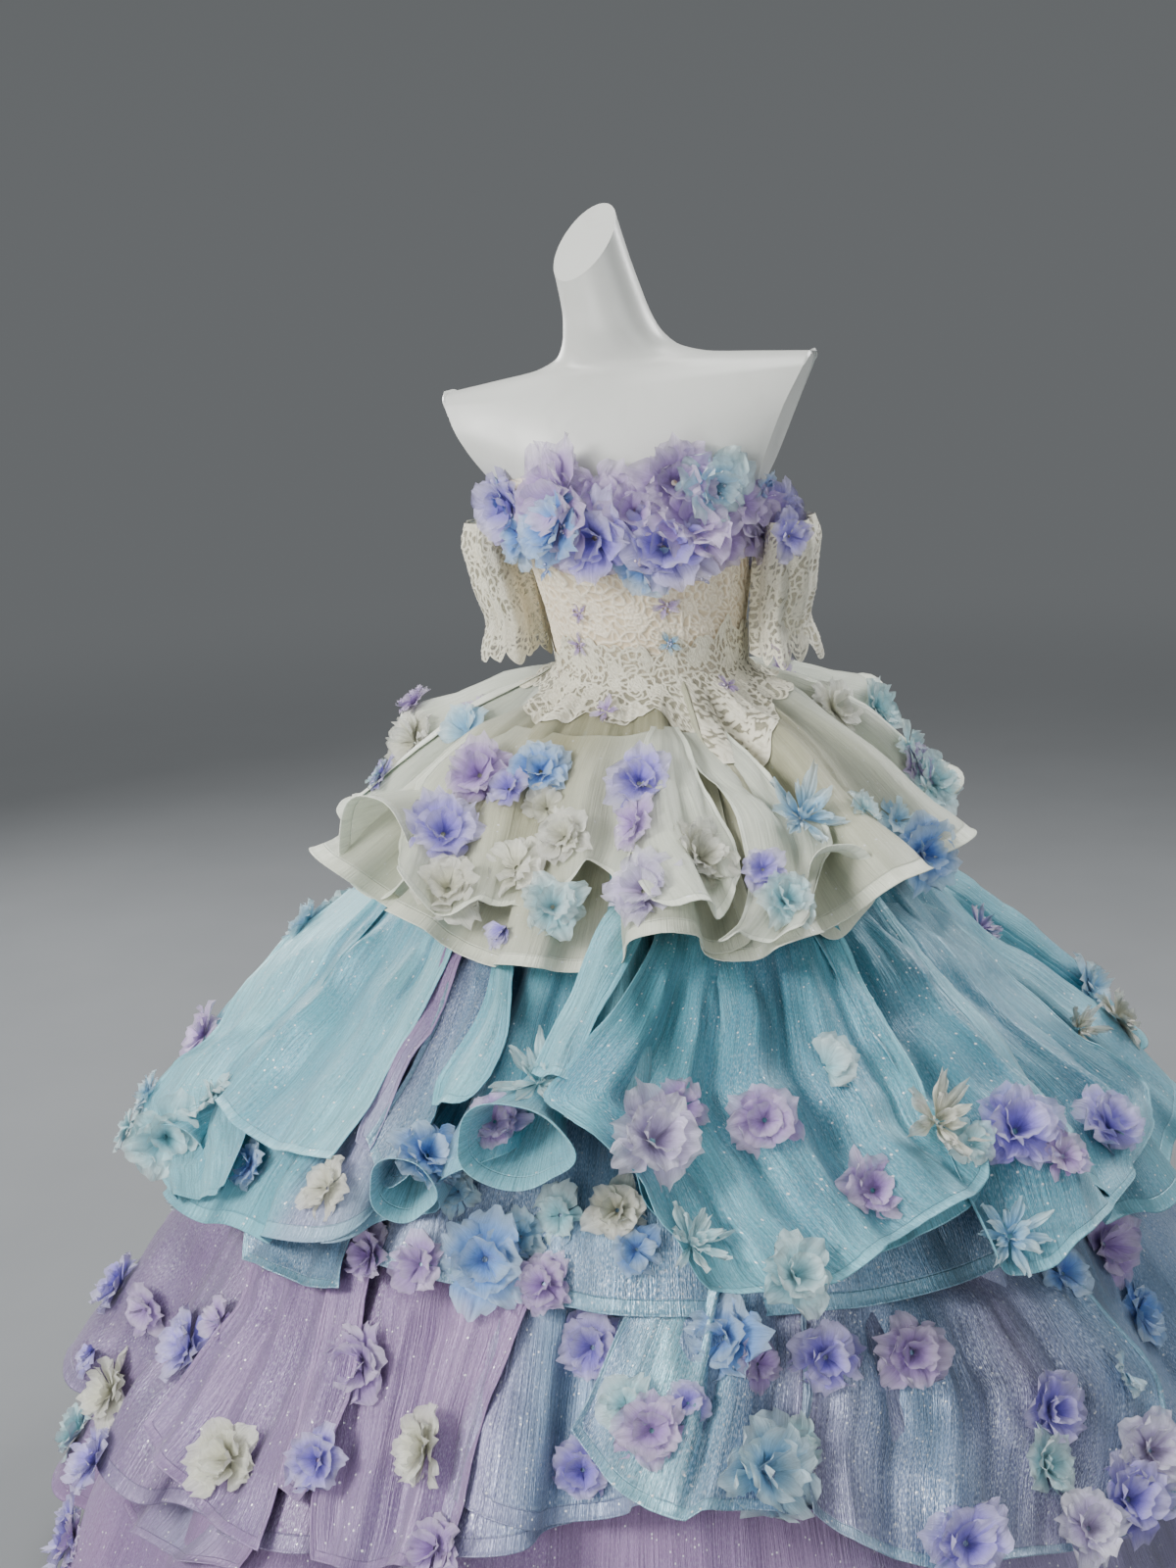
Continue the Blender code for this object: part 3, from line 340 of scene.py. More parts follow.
MIDDLE_TIER = {
    "top": 0.42, "roll": 0.006, "grow": 1.8, "curl": 0.28, "fade": ("silver_lilac", 0.25),
    "lift": ((0.42, 0.0038), (0.5, 0.0125), (0.6, 0.0175), (0.72, 0.023), (0.85, 0.042), (0.97, 0.06),
        (1.1, 0.072)),
    "hem": ((-165, 0.96), (-130, 0.97), (-100, 0.965), (-75, 0.95), (-45, 0.93), (-20, 0.88), (-5, 0.85),
        (16, 0.79), (30, 0.84), (45, 0.88), (65, 0.93), (85, 0.985), (120, 0.97)),
    "folds": ((-167, 12, 50), (-143, 12, 44), (-118, 12, 54), (-94, 12, 46), (-70, 12, 56), (-46, 12, 46),
        (-24, 11, 56), (-4, 9, 48), (14, 10, 56), (36, 12, 30), (60, 12, 44), (84, 12, 56), (108, 12, 46),
        (132, 12, 54), (156, 12, 44)),
    "dyes": ((-180, "lilac"), (-92, "lilac"), (-60, "mauve"), (-30, "mauve"), (-8, "lilac"), (0, "silver_blue"),
        (10, "silver_blue"), (25, "steel_blue"), (45, "silver_lilac"), (60, "silver_blue"), (90, "silver_blue"),
        (140, "silver_lilac"), (172, "silver_blue")),
    "creases": front_and_back((-82, -2, 0.3, 1, 1.5, -11), (-76, 2, 0.4, 0.9, 1.2, 6),
        (-58, -2, 0.3, 1, 1.5, -12), (-50, 2, 0.4, 1, 1.2, 6), (-36, 2, 0.3, 1, 1.4, -11),
        (-29, -2, 0.4, 0.9, 1.2, 6), (-14, 2, 0.3, 1, 1.4, -10), (4, -2, 0.3, 1, 1.2, -7),
        (9, -1, 0.4, 1, 1.2, 5), (24, 2, 0.3, 1, 1.4, -8), (31, 3, 0.3, 0.8, 1.2, 6), (42, 4, 0.3, 1, 1.4, -9),
        (50, 5, 0.3, 0.9, 1.3, 6), (57, 6, 0.3, 1, 1.4, -9), (72, 3, 0.3, 1, 1.4, -11)),
}
LOWER_TIER = {
    "top": 0.72, "roll": 0.006, "grow": 1.6, "curl": 0.26, "fade": ("lilac", 0.15),
    "lift": ((0.72, 0.0054), (0.8, 0.012), (0.9, 0.02), (1.05, 0.028), (1.2, 0.035)),
    "hem": ((-150, 1.19), (-90, 1.17), (-50, 1.15), (-10, 1.175), (30, 1.15), (70, 1.18), (120, 1.165)),
    "folds": ((-169, 11, 64), (-147, 11, 56), (-125, 11, 70), (-102, 11, 60), (-80, 11, 74), (-57, 11, 60),
        (-35, 11, 70), (-13, 11, 56), (9, 11, 68), (31, 11, 56), (54, 11, 70), (77, 11, 62), (100, 11, 72),
        (123, 11, 58), (145, 11, 68), (168, 10, 54)),
    "dyes": ((-180, "lilac"), (-100, "mauve"), (-60, "lilac"), (-20, "mauve"), (20, "lilac"),
        (60, "silver_lilac"), (100, "lilac"), (140, "mauve")),
    "creases": front_and_back((-91, 2, 0.2, 1, 1.3, -10), (-68, -2, 0.2, 1, 1.3, -11), (-62, 2, 0.4, 1, 1.1, 5),
        (-46, 2, 0.2, 1, 1.3, -10), (-40, -2, 0.4, 0.9, 1.1, 5), (-24, 2, 0.2, 1, 1.3, -10),
        (-2, -2, 0.2, 1, 1.3, -10), (20, 2, 0.2, 1, 1.3, -10), (42, -2, 0.2, 1, 1.3, -10),
        (65, 2, 0.2, 1, 1.3, -11), (88, -2, 0.2, 1, 1.3, -10)),
}
UNDERSKIRT = {
    "top": 0, "roll": 0, "grow": 3, "curl": 0, "fade": ("mauve", 0),
    "lift": ((0, 0), (SLOPE_END, 0)),
    "hem": ((-180, SLOPE_END), (0, SLOPE_END)),
    "folds": tuple((-170 + 20 * k, 9, 12) for k in range(18)),
    "dyes": ((-180, "mauve"), (0, "mauve")),
    "creases": (),
}
CREASE_TIP = 0.35  # rounding of a crease's tip, in its widths
CREASE_FADE = 0.3  # share of its length over which it fades in, and out
HEM_ROLL_POWER = 8  # the roll grows with this power of the share, over the last of the cloth

PANELS = (
    # node, from, to, and at each side 1 where it lies over its neighbour, -1 under it, 0 sewn to it
    ("peplum_front_right", -82, 26, -1, 1),
    ("peplum_front_left", 26, 112, -1, 1),
    ("peplum_back", 112, 278, -1, 1),
    ("upper_tier_side_right", -110, -18, 1, 1),
    ("upper_tier_centre", -18, 14, -1, -1),
    ("upper_tier_front_left", 14, 58, 1, 1),
    ("upper_tier_side_left", 58, 112, -1, 1),
    ("upper_tier_back_left", 112, 181, -1, 1),
    ("upper_tier_back_right", 181, 250, -1, -1),
    ("under_tier_front", -90, 90, 0, 0),
    ("under_tier_back", 90, 270, 0, 0),
    ("middle_tier_front_right", -92, -3, -1, -1),
    ("middle_tier_front_left", -3, 88, 1, 1),
    ("middle_tier_back_left", 88, 178, -1, 1),
    ("middle_tier_back_right", 178, 268, -1, 1),
    ("lower_tier_front", -90, 90, 1, 1),
    ("lower_tier_back", 90, 270, -1, -1),
    ("underskirt_front", -90, 90, 0, 0),
    ("underskirt_back", 90, 270, 0, 0),
)
LAP = math.radians(2.6)  # how far a panel that lies over its neighbour reaches past the seam
UNDERLAP = math.radians(7.0)  # how far the neighbour reaches on under it
LAP_RISE = 0.0026  # how far the upper panel stands off at its edge
LAP_SOFT = math.radians(6.0)  # width over which it comes down again
UNDERLAP_SINK = 0.0012
CORNER_WIDE = math.radians(11.0)  # width of the rounded lower corner of a lapped edge
CORNER_UP = 0.1  # share of the panel's length that the corner rises by


def fold_shapes(tier, angle, share):
    """(how far the folds stand out, how far they shift sideways): each fold is a raised cosine across the
    angle, growing as a power of the share, and its sides are swept outwards by a sine."""
    out = np.zeros(np.broadcast(angle, share).shape)
    aside = np.zeros_like(out)
    grow = np.clip(share, 0, None) ** tier["grow"]
    for centre, half_width, height in tier["folds"]:
        half = math.radians(half_width)
        x = wrapped(angle - math.radians(centre)) / half
        inside = np.abs(x) < 1
        out += np.where(inside, height / MILLIMETRES * (0.5 + 0.5 * np.cos(math.pi * x)), 0) * grow
        aside += np.where(inside, tier["curl"] * half * 0.5 * np.sin(2 * math.pi * x), 0) * grow
    return out, aside


def tier_surface(tier):
    """Outer face of a tier by angle and share: the slope, lifted by the tier's lift, its folds and its rolled
    hem."""

    def surface(angle, share):
        along = tier["top"] + share * (smooth_around(tier["hem"], angle) - tier["top"])
        out, aside = fold_shapes(tier, angle, share)
        roll = tier["roll"] * np.clip(share, 0, 1) ** HEM_ROLL_POWER
        lift = smooth_through(column(tier["lift"], 0), column(tier["lift"], 1), along)
        turned = angle + aside
        base = slope_surface(turned, along)
        up = normals_of(slope_surface, turned, along)
        return base + up * (lift + out + roll)[..., None]

    return surface


WAVE_SPREAD = (0.7, 1.4)  # wavelengths lie between these factors of the one that is asked for


def crumple(points, wavelength, seed, waves=12):
    """Irregular waves of about one wavelength: a sum of plane waves in random directions, about 1 high."""
    rng = np.random.default_rng(seed)
    total = np.zeros(points.shape[:-1])
    for _ in range(waves):
        heading = rng.normal(size=3)
        heading *= 2 * math.pi / (np.linalg.norm(heading) * wavelength * rng.uniform(*WAVE_SPREAD))
        total += np.sin(points @ heading + rng.uniform(0, 2 * math.pi))
    return total * math.sqrt(2 / waves)


def tent(x):
    """exp(-|x|), rounded at its tip."""
    return np.exp(CREASE_TIP - np.sqrt(x * x + CREASE_TIP**2))


def down_ridges(angle, along, apart, seed):
    """Sharp ridges down the cloth, 1 at their tops: 1 less the size of waves that vary faster round it."""
    place = stacked(0.5 * np.sin(angle), 0.5 * np.cos(angle), 0.22 * along)
    return 1 - np.abs(crumple(place, apart, seed))


def crease_height(tier, angle, share):
    """Sum of the tier's placed creases: each a tent across the angle, leaning with the share and fading in and
    out between its two ends."""
    total = np.zeros(np.broadcast(angle, share).shape)
    for start, lean, first, last, width, out in tier["creases"]:
        x = wrapped(angle - np.radians(start + lean * (share - first))) / math.radians(width)
        length = (share - first) / (last - first)
        window = ease(length / CREASE_FADE) * ease((1.08 - length) / CREASE_FADE)
        total += out / MILLIMETRES * tent(x) * window
    return total


BILLOW = 0.0026  # height of the cloth's soft waves between its creases
RADIAL = 0.0022  # of the sharp ridges that run down it
CRINKLE = 0.0006  # of its small crumples
BILLOWS_APART = 0.11
RIDGES_APART = 0.052
CRINKLES_APART = 0.02
LOOSE_BY = 0.3  # share of the way down a tier by which they have grown in
WIRED_FROM = 0.9  # the wire in the hem stills WIRED_STILL of them from this share on
WIRED_OVER = 0.1
WIRED_STILL = 0.6

TIERS = {
    "peplum": PEPLUM,
    "upper_tier": UPPER_TIER,
    "under_tier": UNDER_TIER,
    "middle_tier": MIDDLE_TIER,
    "lower_tier": LOWER_TIER,
    "underskirt": UNDERSKIRT,
}  # from the top one in, so that each is covered by the one before it


def tier_of(name):
    """The tier that a panel or a drape belongs to: its name starts with the tier's."""
    return next(tier for tier in TIERS if name.startswith(tier))


# ---- meshes


def grid_faces(rows, columns, closed=False):
    """Four-sided faces of a grid of points, rows by columns, each facing the way down crossed with across."""
    across = columns if closed else columns - 1
    i, j = np.meshgrid(np.arange(rows - 1), np.arange(across), indexing="ij")
    k = (j + 1) % columns
    corners = (i * columns + j, (i + 1) * columns + j, (i + 1) * columns + k, i * columns + k)
    return stacked(*corners).reshape(-1, 4)


def repeated_faces(count, rows, columns, closed=False):
    """Faces of many grids of one size, whose points follow each other."""
    first = np.arange(count)[:, None, None] * rows * columns
    return (grid_faces(rows, columns, closed)[None] + first).reshape(-1, 4)


def tube_uv(across, up, metres_round):
    """Cloth places of a tube's columns, and once more of its first one, past the seam."""
    return stacked(np.append(across, across[:, :1] + metres_round, axis=1), np.append(up, up[:, :1], axis=1))


def add_object(name, data):
    made = bpy.data.objects.new(name, data)
    bpy.context.scene.collection.objects.link(made)
    return made


def mesh_piece(name, points, faces, finish, uv=None, uv_faces=None, numbers=(), colours=()):
    """One object at the origin from arrays of points and four-sided faces, with a UV map "cloth", and point
    attributes that hold a number or a colour each."""
    points, faces = np.asarray(points, np.float32).reshape(-1, 3), np.asarray(faces, np.int32)
    mesh = bpy.data.meshes.new(name)
    mesh.vertices.add(len(points))
    mesh.vertices.foreach_set("co", points.ravel())
    mesh.loops.add(faces.size)
    mesh.loops.foreach_set("vertex_index", faces.ravel())
    mesh.polygons.add(len(faces))
    mesh.polygons.foreach_set("loop_start", np.arange(0, faces.size, faces.shape[1], dtype=np.int32))
    mesh.update(calc_edges=True)
    if uv is not None:
        corners = np.asarray(uv, np.float32).reshape(-1, 2)[faces if uv_faces is None else uv_faces]
        mesh.uv_layers.new(name="cloth").data.foreach_set("uv", corners.ravel())
    for key, values in numbers:
        layer = mesh.attributes.new(key, "FLOAT", "POINT")
        layer.data.foreach_set("value", np.asarray(values, np.float32).ravel())
    for key, values in colours:
        values = np.asarray(values, np.float32).reshape(-1, 3)
        full = np.concatenate([values, np.ones((len(values), 1), np.float32)], axis=1)
        layer = mesh.attributes.new(key, "FLOAT_COLOR", "POINT")
        layer.data.foreach_set("color", full.ravel())
    mesh.shade_smooth()
    mesh.materials.append(finish)
    piece = add_object(name, mesh)
    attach(piece, "root")
    return piece


def thicken(piece, thickness):
    """Gives a sheet its thickness, inwards from its outer face."""
    wall = piece.modifiers.new("cloth thickness", "SOLIDIFY")
    wall.thickness = thickness
    wall.offset = -1


def mix(a, b, share):
    share = np.asarray(share)[..., None]
    return np.asarray(a) * (1 - share) + np.asarray(b) * share


def dye_around(rows, angle):
    """Colour of the cloth at each angle: the table's dyes, blended channel by channel."""
    return stacked(*(smooth_around([(at, DYES[dye][k]) for at, dye in rows], angle) for k in range(3)))


# ---- finishes


def feed(tree, socket, value):
    """Links a socket to another node's output, or sets it to a value."""
    if isinstance(value, bpy.types.NodeSocket):
        tree.links.new(value, socket)
    else:
        socket.default_value = value


def add_node(tree, kind, inputs=None, **settings):
    made = tree.nodes.new("ShaderNode" + kind)
    for key, value in settings.items():
        setattr(made, key, value)
    for key, value in (inputs or {}).items():
        feed(tree, made.inputs[key], value)
    return made


class Finish:
    """A Principled material and short calls for the pattern nodes that feed it."""

    def __init__(self, name, colour, roughness, **sockets):
        self.material = bpy.data.materials.new(name)
        self.material.use_nodes = True
        self.tree = self.material.node_tree
        self.shader = self.tree.nodes["Principled BSDF"]
        self.shader.inputs["Base Color"].default_value = (*colour, 1)
        self.shader.inputs["Roughness"].default_value = roughness
        for socket, value in sockets.items():
            self.shader.inputs[socket.replace("_", " ")].default_value = value

    def node(self, kind, inputs=None, **settings):
        return add_node(self.tree, kind, inputs, **settings)

    def set(self, socket, value):
        feed(self.tree, self.shader.inputs[socket], value)

    def cloth(self, across, down):
        """Places on the cloth, scaled: patterns a metre long become 1/across wide and 1/down long."""
        where = self.node("UVMap", uv_map="cloth").outputs[0]
        return self.node("Mapping", {0: where, 3: (across, down, 1)}).outputs[0]

    def space(self):
        return self.node("TexCoord").outputs["Object"]

    def number(self, name):
        return self.node("Attribute", attribute_name=name).outputs["Fac"]

    def colour(self, name):
        return self.node("Attribute", attribute_name=name).outputs["Color"]

    def noise(self, where, scale, detail=2.0, distortion=0.0):
        inputs = {"Vector": where, "Scale": scale, "Detail": detail, "Distortion": distortion}
        return self.node("TexNoise", inputs).outputs[0]

    def cells(self, where, scale):
        made = self.node("TexVoronoi", {"Vector": where, "Scale": scale})
        return made.outputs["Distance"], made.outputs["Color"]

    def fit(self, value, low, high, to_low=0.0, to_high=1.0, **settings):
        inputs = {0: value, 1: low, 2: high, 3: to_low, 4: to_high}
        return self.node("MapRange", inputs, **settings).outputs[0]

    def sum(self, a, b):
        return self.node("Math", {0: a, 1: b}, operation="ADD").outputs[0]

    def times(self, a, b):
        return self.node("Math", {0: a, 1: b}, operation="MULTIPLY").outputs[0]

    def blend(self, share, a, b, kind="MIX"):
        made = self.node("Mix", {0: share, 6: a, 7: b}, data_type="RGBA", blend_type=kind)
        return made.outputs[2]

    def shaded(self, colour, factor):
        """The colour made darker or lighter by a factor."""
        return self.node("VectorMath", {0: colour, "Scale": factor}, operation="SCALE").outputs[0]

    def bump(self, height, distance, strength=1.0):
        made = self.node("Bump", {"Height": height, "Distance": distance, "Strength": strength})
        self.set("Normal", made.outputs[0])


def organza(name, hem_dye, roughness, metal, alpha, crinkle, glitter, silver):
    """Shot organza: a dye from the cloth's colours, with painted shade in some of it, crinkles and fine threads
    that run down the cloth, a cloudy second tone, silver weft that shows along some threads, glitter dots whose
    near white is partly their own and partly a painted glint, and a paler stitched hem."""
    made = Finish(name, DYES["ivory"], roughness, Metallic=metal, Sheen_Weight=0.3, Sheen_Roughness=0.35)
    dye = made.colour("dye")
    edge = made.number("edge")
    pleat = made.noise(made.cloth(330, 5), 1.0, 2.0)
    thread = made.noise(made.cloth(900, 26), 1.0, 2.0)
    weave = made.noise(made.cloth(2600, 900), 1.0, 1.0)
    cloud = made.noise(made.space(), 11.0, 3.0, 0.4)
    tone = made.fit(pleat, 0.32, 0.68, 1 - 0.7 * crinkle, 1 + 0.7 * crinkle)
    tone = made.times(tone, made.fit(thread, 0.3, 0.7, 1 - crinkle, 1 + crinkle))
    tone = made.times(tone, made.fit(weave, 0.3, 0.7, 0.94, 1.06))
    colour = made.shaded(dye, tone)
    clouded = made.fit(cloud, 0.42, 0.72, 0.0, 0.35)
    colour = made.blend(clouded, colour, (*DYES["silver_lilac"], 1), "SOFT_LIGHT")
    fleck = made.noise(made.cloth(1500, 260), 1.0, 1.0)
    shot = made.times(made.fit(fleck, 0.5, 0.68), made.fit(cloud, 0.35, 0.65, 0.35, 1.0))
    colour = made.shaded(colour, made.fit(fleck, 0.5, 0.32, 1.0, 1 - 0.45 * silver))
    colour = made.blend(made.times(shot, silver), colour, (*linear(216, 224, 236), 1))
    band = made.fit(edge, HEM_BAND - 0.0012, HEM_BAND, 1.0, 0.0)
    colour = made.blend(made.times(band, 0.26), colour, (*hem_dye, 1))
    stitch = made.times(made.fit(edge, HEM_BAND - 0.0022, HEM_BAND - 0.0014), band)
    colour = made.blend(made.times(stitch, 0.18), colour, (*DYES["steel_blue"], 1), "MULTIPLY")
    # Glitter dots, near white and glossy: the white is partly the flecks' own and partly their glint, painted
    # in
    dot, chance = made.cells(made.cloth(170, 170), 1.0)
    lucky = made.fit(made.node("SeparateColor", {0: chance}).outputs[0], 1 - glitter, 1 - glitter + 0.01)
    spark = made.times(made.fit(dot, 0.2, 0.14), lucky)
    colour = made.blend(spark, colour, (0.97, 0.98, 1.0, 1))
    made.set("Base Color", colour)
    made.set("Metallic", made.fit(shot, 0.0, 1.0, metal, min(metal + 0.5 * silver, 1.0)))
    shine = made.fit(pleat, 0.32, 0.72, roughness + 0.12, roughness - 0.12)
    made.set("Roughness", made.fit(spark, 0.0, 1.0, shine, 0.06))
    if alpha < 1:
        made.set("Alpha", made.fit(edge, HEM_BAND - 0.001, HEM_BAND, 1.0, alpha))
    height = made.sum(pleat, made.sum(made.times(thread, 0.8), made.times(weave, 0.2)))
    made.bump(made.sum(height, made.times(stitch, -0.5)), 0.0013, 0.9)
    return made.material


def lace_finish(name, ground, cord, alpha):
    """Corded lace: pale raised cords over a slightly deeper net, with the thread's fine twist."""
    made = Finish(name, cord, 0.72, Sheen_Weight=0.25)
    raised = made.number("cord")
    thread = made.noise(made.cloth(1500, 1500), 1.0, 2.0)
    net_distance, _ = made.cells(made.cloth(700, 700), 1.0)
    cloud = made.noise(made.space(), 24.0, 3.0)
    colour = made.blend(made.fit(raised, 0.15, 0.65), (*ground, 1), (*cord, 1))
    colour = made.shaded(colour, made.fit(thread, 0.3, 0.7, 0.86, 1.1))
    colour = made.shaded(colour, made.fit(cloud, 0.3, 0.7, 0.9, 1.06))
    made.set("Base Color", colour)
    made.set("Roughness", made.fit(raised, 0.2, 0.8, 0.85, 0.55))
    if alpha < 1:
        net = made.fit(net_distance, 0.3, 0.45, alpha, alpha + 0.3)
        made.set("Alpha", made.sum(net, made.fit(raised, 0.15, 0.45)))
    made.bump(made.sum(made.times(raised, 1.6), made.times(thread, 0.4)), 0.0006, 0.9)
    return made.material


def petal_finish(name):
    """Crumpled organza petals: their dyes, paler at the rim partly as painted light that shines through them,
    fine veins from the foot to the rim, and a sheer rim.
    """
    made = Finish(name, DYES["lilac"], 0.55, Sheen_Weight=0.5, Sheen_Roughness=0.4)
    dye = made.colour("dye")
    vein = made.noise(made.cloth(11, 1.0), 1.0, 3.0, 0.8)
    crush = made.noise(made.space(), 150.0, 3.0)
    tone = made.times(made.fit(vein, 0.3, 0.7, 0.76, 1.2), made.fit(crush, 0.3, 0.7, 0.92, 1.08))
    made.set("Base Color", made.shaded(dye, tone))
    made.set("Roughness", made.fit(vein, 0.3, 0.7, 0.62, 0.42))
    down = made.node("SeparateXYZ", {0: made.node("UVMap", uv_map="cloth").outputs[0]}).outputs[1]
    made.set("Alpha", made.times(made.fit(down, 0.35, 1.0, 0.96, 0.58), made.fit(vein, 0.3, 0.6, 1.08, 0.92)))
    made.bump(made.sum(vein, made.times(crush, 0.6)), 0.0016, 0.9)
    return made.material


def bead_finish(name):
    made = Finish(name, linear(205, 190, 215), 0.12, Metallic=0.35, Coat_Weight=0.8, Coat_Roughness=0.05)
    made.set("Base Color", made.colour("dye"))
    return made.material


def form_finish(name):
    """Satin white paint on a moulded shell: faint orange peel and slight rubbing."""
    made = Finish(name, linear(210, 212, 208), 0.38, Coat_Weight=0.2, Coat_Roughness=0.3)
    peel = made.noise(made.space(), 260.0, 2.0)
    rub = made.noise(made.space(), 18.0, 4.0, 0.6)
    made.set("Roughness", made.fit(rub, 0.35, 0.7, 0.3, 0.44))
    rubbed = made.fit(rub, 0.55, 0.8)
    made.set("Base Color", made.blend(rubbed, (*linear(212, 214, 209), 1), (*linear(203, 204, 199), 1)))
    made.bump(peel, 0.0002, 0.25)
    return made.material


def steel_finish(name):
    """Drawn steel tube: fine streaks round it from polishing, and a few duller patches."""
    made = Finish(name, (0.58, 0.58, 0.6), 0.28, Metallic=1.0)
    lines = made.noise(made.node("Mapping", {0: made.space(), 3: (30, 30, 1400)}).outputs[0], 1.0, 2.0)
    patch = made.noise(made.space(), 14.0, 3.0)
    made.set("Base Color", made.blend(made.fit(patch, 0.5, 0.75), (0.6, 0.6, 0.62, 1), (0.46, 0.46, 0.47, 1)))
    made.set("Roughness", made.fit(lines, 0.3, 0.7, 0.2, 0.42))
    made.bump(lines, 0.0001, 0.4)
    return made.material


def base_finish(name):
    """Powder coat on the base plate: a fine grain, scuffed a little."""
    made = Finish(name, linear(222, 222, 220), 0.42, Coat_Weight=0.1)
    grain = made.noise(made.space(), 900.0, 1.0)
    scuff = made.noise(made.space(), 30.0, 5.0, 1.2)
    worn = made.fit(scuff, 0.62, 0.75)
    made.set("Base Color", made.blend(worn, (*linear(222, 222, 220), 1), (*linear(188, 187, 184), 1)))
    made.set("Roughness", made.fit(scuff, 0.5, 0.75, 0.4, 0.6))
    made.bump(grain, 0.0002, 0.5)
    return made.material


def floor_finish(name):
    """Pale matt floor that fades into the grey behind it, a few metres out."""
    made = Finish(name, (0.24, 0.25, 0.26), 0.9, Specular_IOR_Level=0.0)
    made.shader.inputs["Emission Color"].default_value = (*HORIZON_GREY, 1)
    grain = made.noise(made.space(), 3.0, 4.0)
    away = made.node("VectorMath", {0: made.space()}, operation="LENGTH").outputs["Value"]
    far = made.fit(away, *FLOOR_FADE, interpolation_type="SMOOTHSTEP")
    near = made.blend(made.fit(grain, 0.3, 0.7), (0.23, 0.24, 0.25, 1), (0.246, 0.256, 0.266, 1))
    made.set("Base Color", made.blend(far, near, (0, 0, 0, 1)))
    made.set("Emission Strength", far)
    return made.material


HEM_BAND = 0.016  # width of the stiff braid in a hem

ORGANZAS = {
    # tier: (material, slot, hem dye, roughness, metallic, alpha, crinkle, glitter, silver)
    "peplum": ("ivory_soft_organza", "ivory_organza", "ivory", 0.46, 0.05, 0.62, 0.08, 0.1, 0.12),
    "upper_tier": ("turquoise_crisp_organza", "turquoise_organza", "aqua", 0.4, 0.12, 0.9, 0.24, 0.2, 0.42),
    "under_tier": ("silver_blue_shot_lame", "silver_blue_lame", "aqua", 0.34, 0.3, 1.0, 0.26, 0.24, 0.95),
    "middle_tier": ("shot_organza", "silver_blue_lame", "silver_lilac", 0.36, 0.22, 1.0, 0.2, 0.24, 0.66),
    "lower_tier": ("lilac_crinkled_organza", "lilac_organza", "lilac", 0.4, 0.15, 1.0, 0.15, 0.2, 0.34),
    "underskirt": ("lilac_lining", "lilac_organza", "mauve", 0.5, 0.1, 1.0, 0.2, 0.06, 0.15),
}


def finish_called(make, name, *rest):
    """The material of that name, made the first time it is asked for."""
    return bpy.data.materials.get(name) or make(name, *rest)


def tier_finish(tier_name):
    name, _, hem, *rest = ORGANZAS[tier_name]
    return finish_called(organza, name, DYES[hem], *rest)


# ---- skirt


SIDE_REACH = {1: LAP, 0: 0.0, -1: UNDERLAP}
HIDDEN_SHARE = {
    # how far down a tier the one above it reaches, so that its rows may lie wide apart
    "peplum": 0.0, "upper_tier": 0.22, "under_tier": 0.55, "middle_tier": 0.28, "lower_tier": 0.36,
    "underskirt": 0.86,
}
HIDDEN_STEPS = 3.0  # how much wider apart
ROW_STRETCH = 1.5  # rows of cloth lie this much wider apart than its columns, for its creases run down it
COARSER = {"underskirt": 2.6, "under_tier": 1.3, "lower_tier": 1.12}  # tiers that show less have wider steps
BACK_COARSER = 1.35  # and so do the pieces at the back
COVERED_BY = dict(zip(list(TIERS)[1:], TIERS))
COVER_EDGE = 0.05  # a covered tier's creases start this far above the hem that covers it
HEM_ROWS = (0.0095, 0.006, 0.0035, 0.0015, 0.0)  # of the rolled hem, up from its edge
HEM_BEAD = 0.0011  # how far the wire in the hem shows
HEM_BEAD_WIDE = 0.0022
HEM_PLACES = 90  # that a panel's hem is measured by


def path_length(points):
    """Length of each path that runs along the last axis of points but one."""
    return np.linalg.norm(np.diff(points, axis=-2), axis=-1).sum(axis=-1)


def cloth_detail(tier_name, angle, share):
    """How far the cloth stands off its tier's smooth surface: its placed creases, soft billows, sharp ridges
    that run down it, and small crumples. All of it eases away where another tier lies over it."""
    tier = TIERS[tier_name]
    seed = list(TIERS).index(tier_name) * 10
    hem = smooth_around(tier["hem"], angle)
    along = tier["top"] + share * (hem - tier["top"])
    place = slope_surface(angle, along)
    free = ease(share / LOOSE_BY)
    wired = 1 - WIRED_STILL * ease((share - WIRED_FROM) / WIRED_OVER)
    sharp = down_ridges(angle, along, RIDGES_APART, seed + 1)
    small = 1 - np.abs(crumple(place, CRINKLES_APART, seed + 2))
    soft = crumple(place, BILLOWS_APART, seed + 3)
    loose = BILLOW * soft + RADIAL * sharp + CRINKLE * small
    height = crease_height(tier, angle, share) + free * wired * loose
    if tier_name not in COVERED_BY:
        return height
    return height * ease((along - smooth_around(TIERS[COVERED_BY[tier_name]]["hem"], angle)) / COVER_EDGE + 1)


def cloth_point(tier_name, angle, share, off=0.0):
    """Place on a tier's cloth, lifted off it by off, and the smooth surface's normal there."""
    surface = tier_surface(TIERS[tier_name])
    out = normals_of(surface, angle, share)
    height = cloth_detail(tier_name, angle, share) + off
    return surface(angle, share) + out * height[..., None], out


def row_shares(tier_name, length, step):
    """Shares of a panel's rows: wide apart where another tier hides them, close at the rolled hem."""
    hidden = HIDDEN_SHARE[tier_name]
    above = np.arange(0, hidden, HIDDEN_STEPS * step / length)
    shown = np.linspace(hidden, 1 - 1.5 * HEM_ROWS[0] / length, int((1 - hidden) * length / step))
    return np.concatenate([above, shown, 1 - np.array(HEM_ROWS) / length])


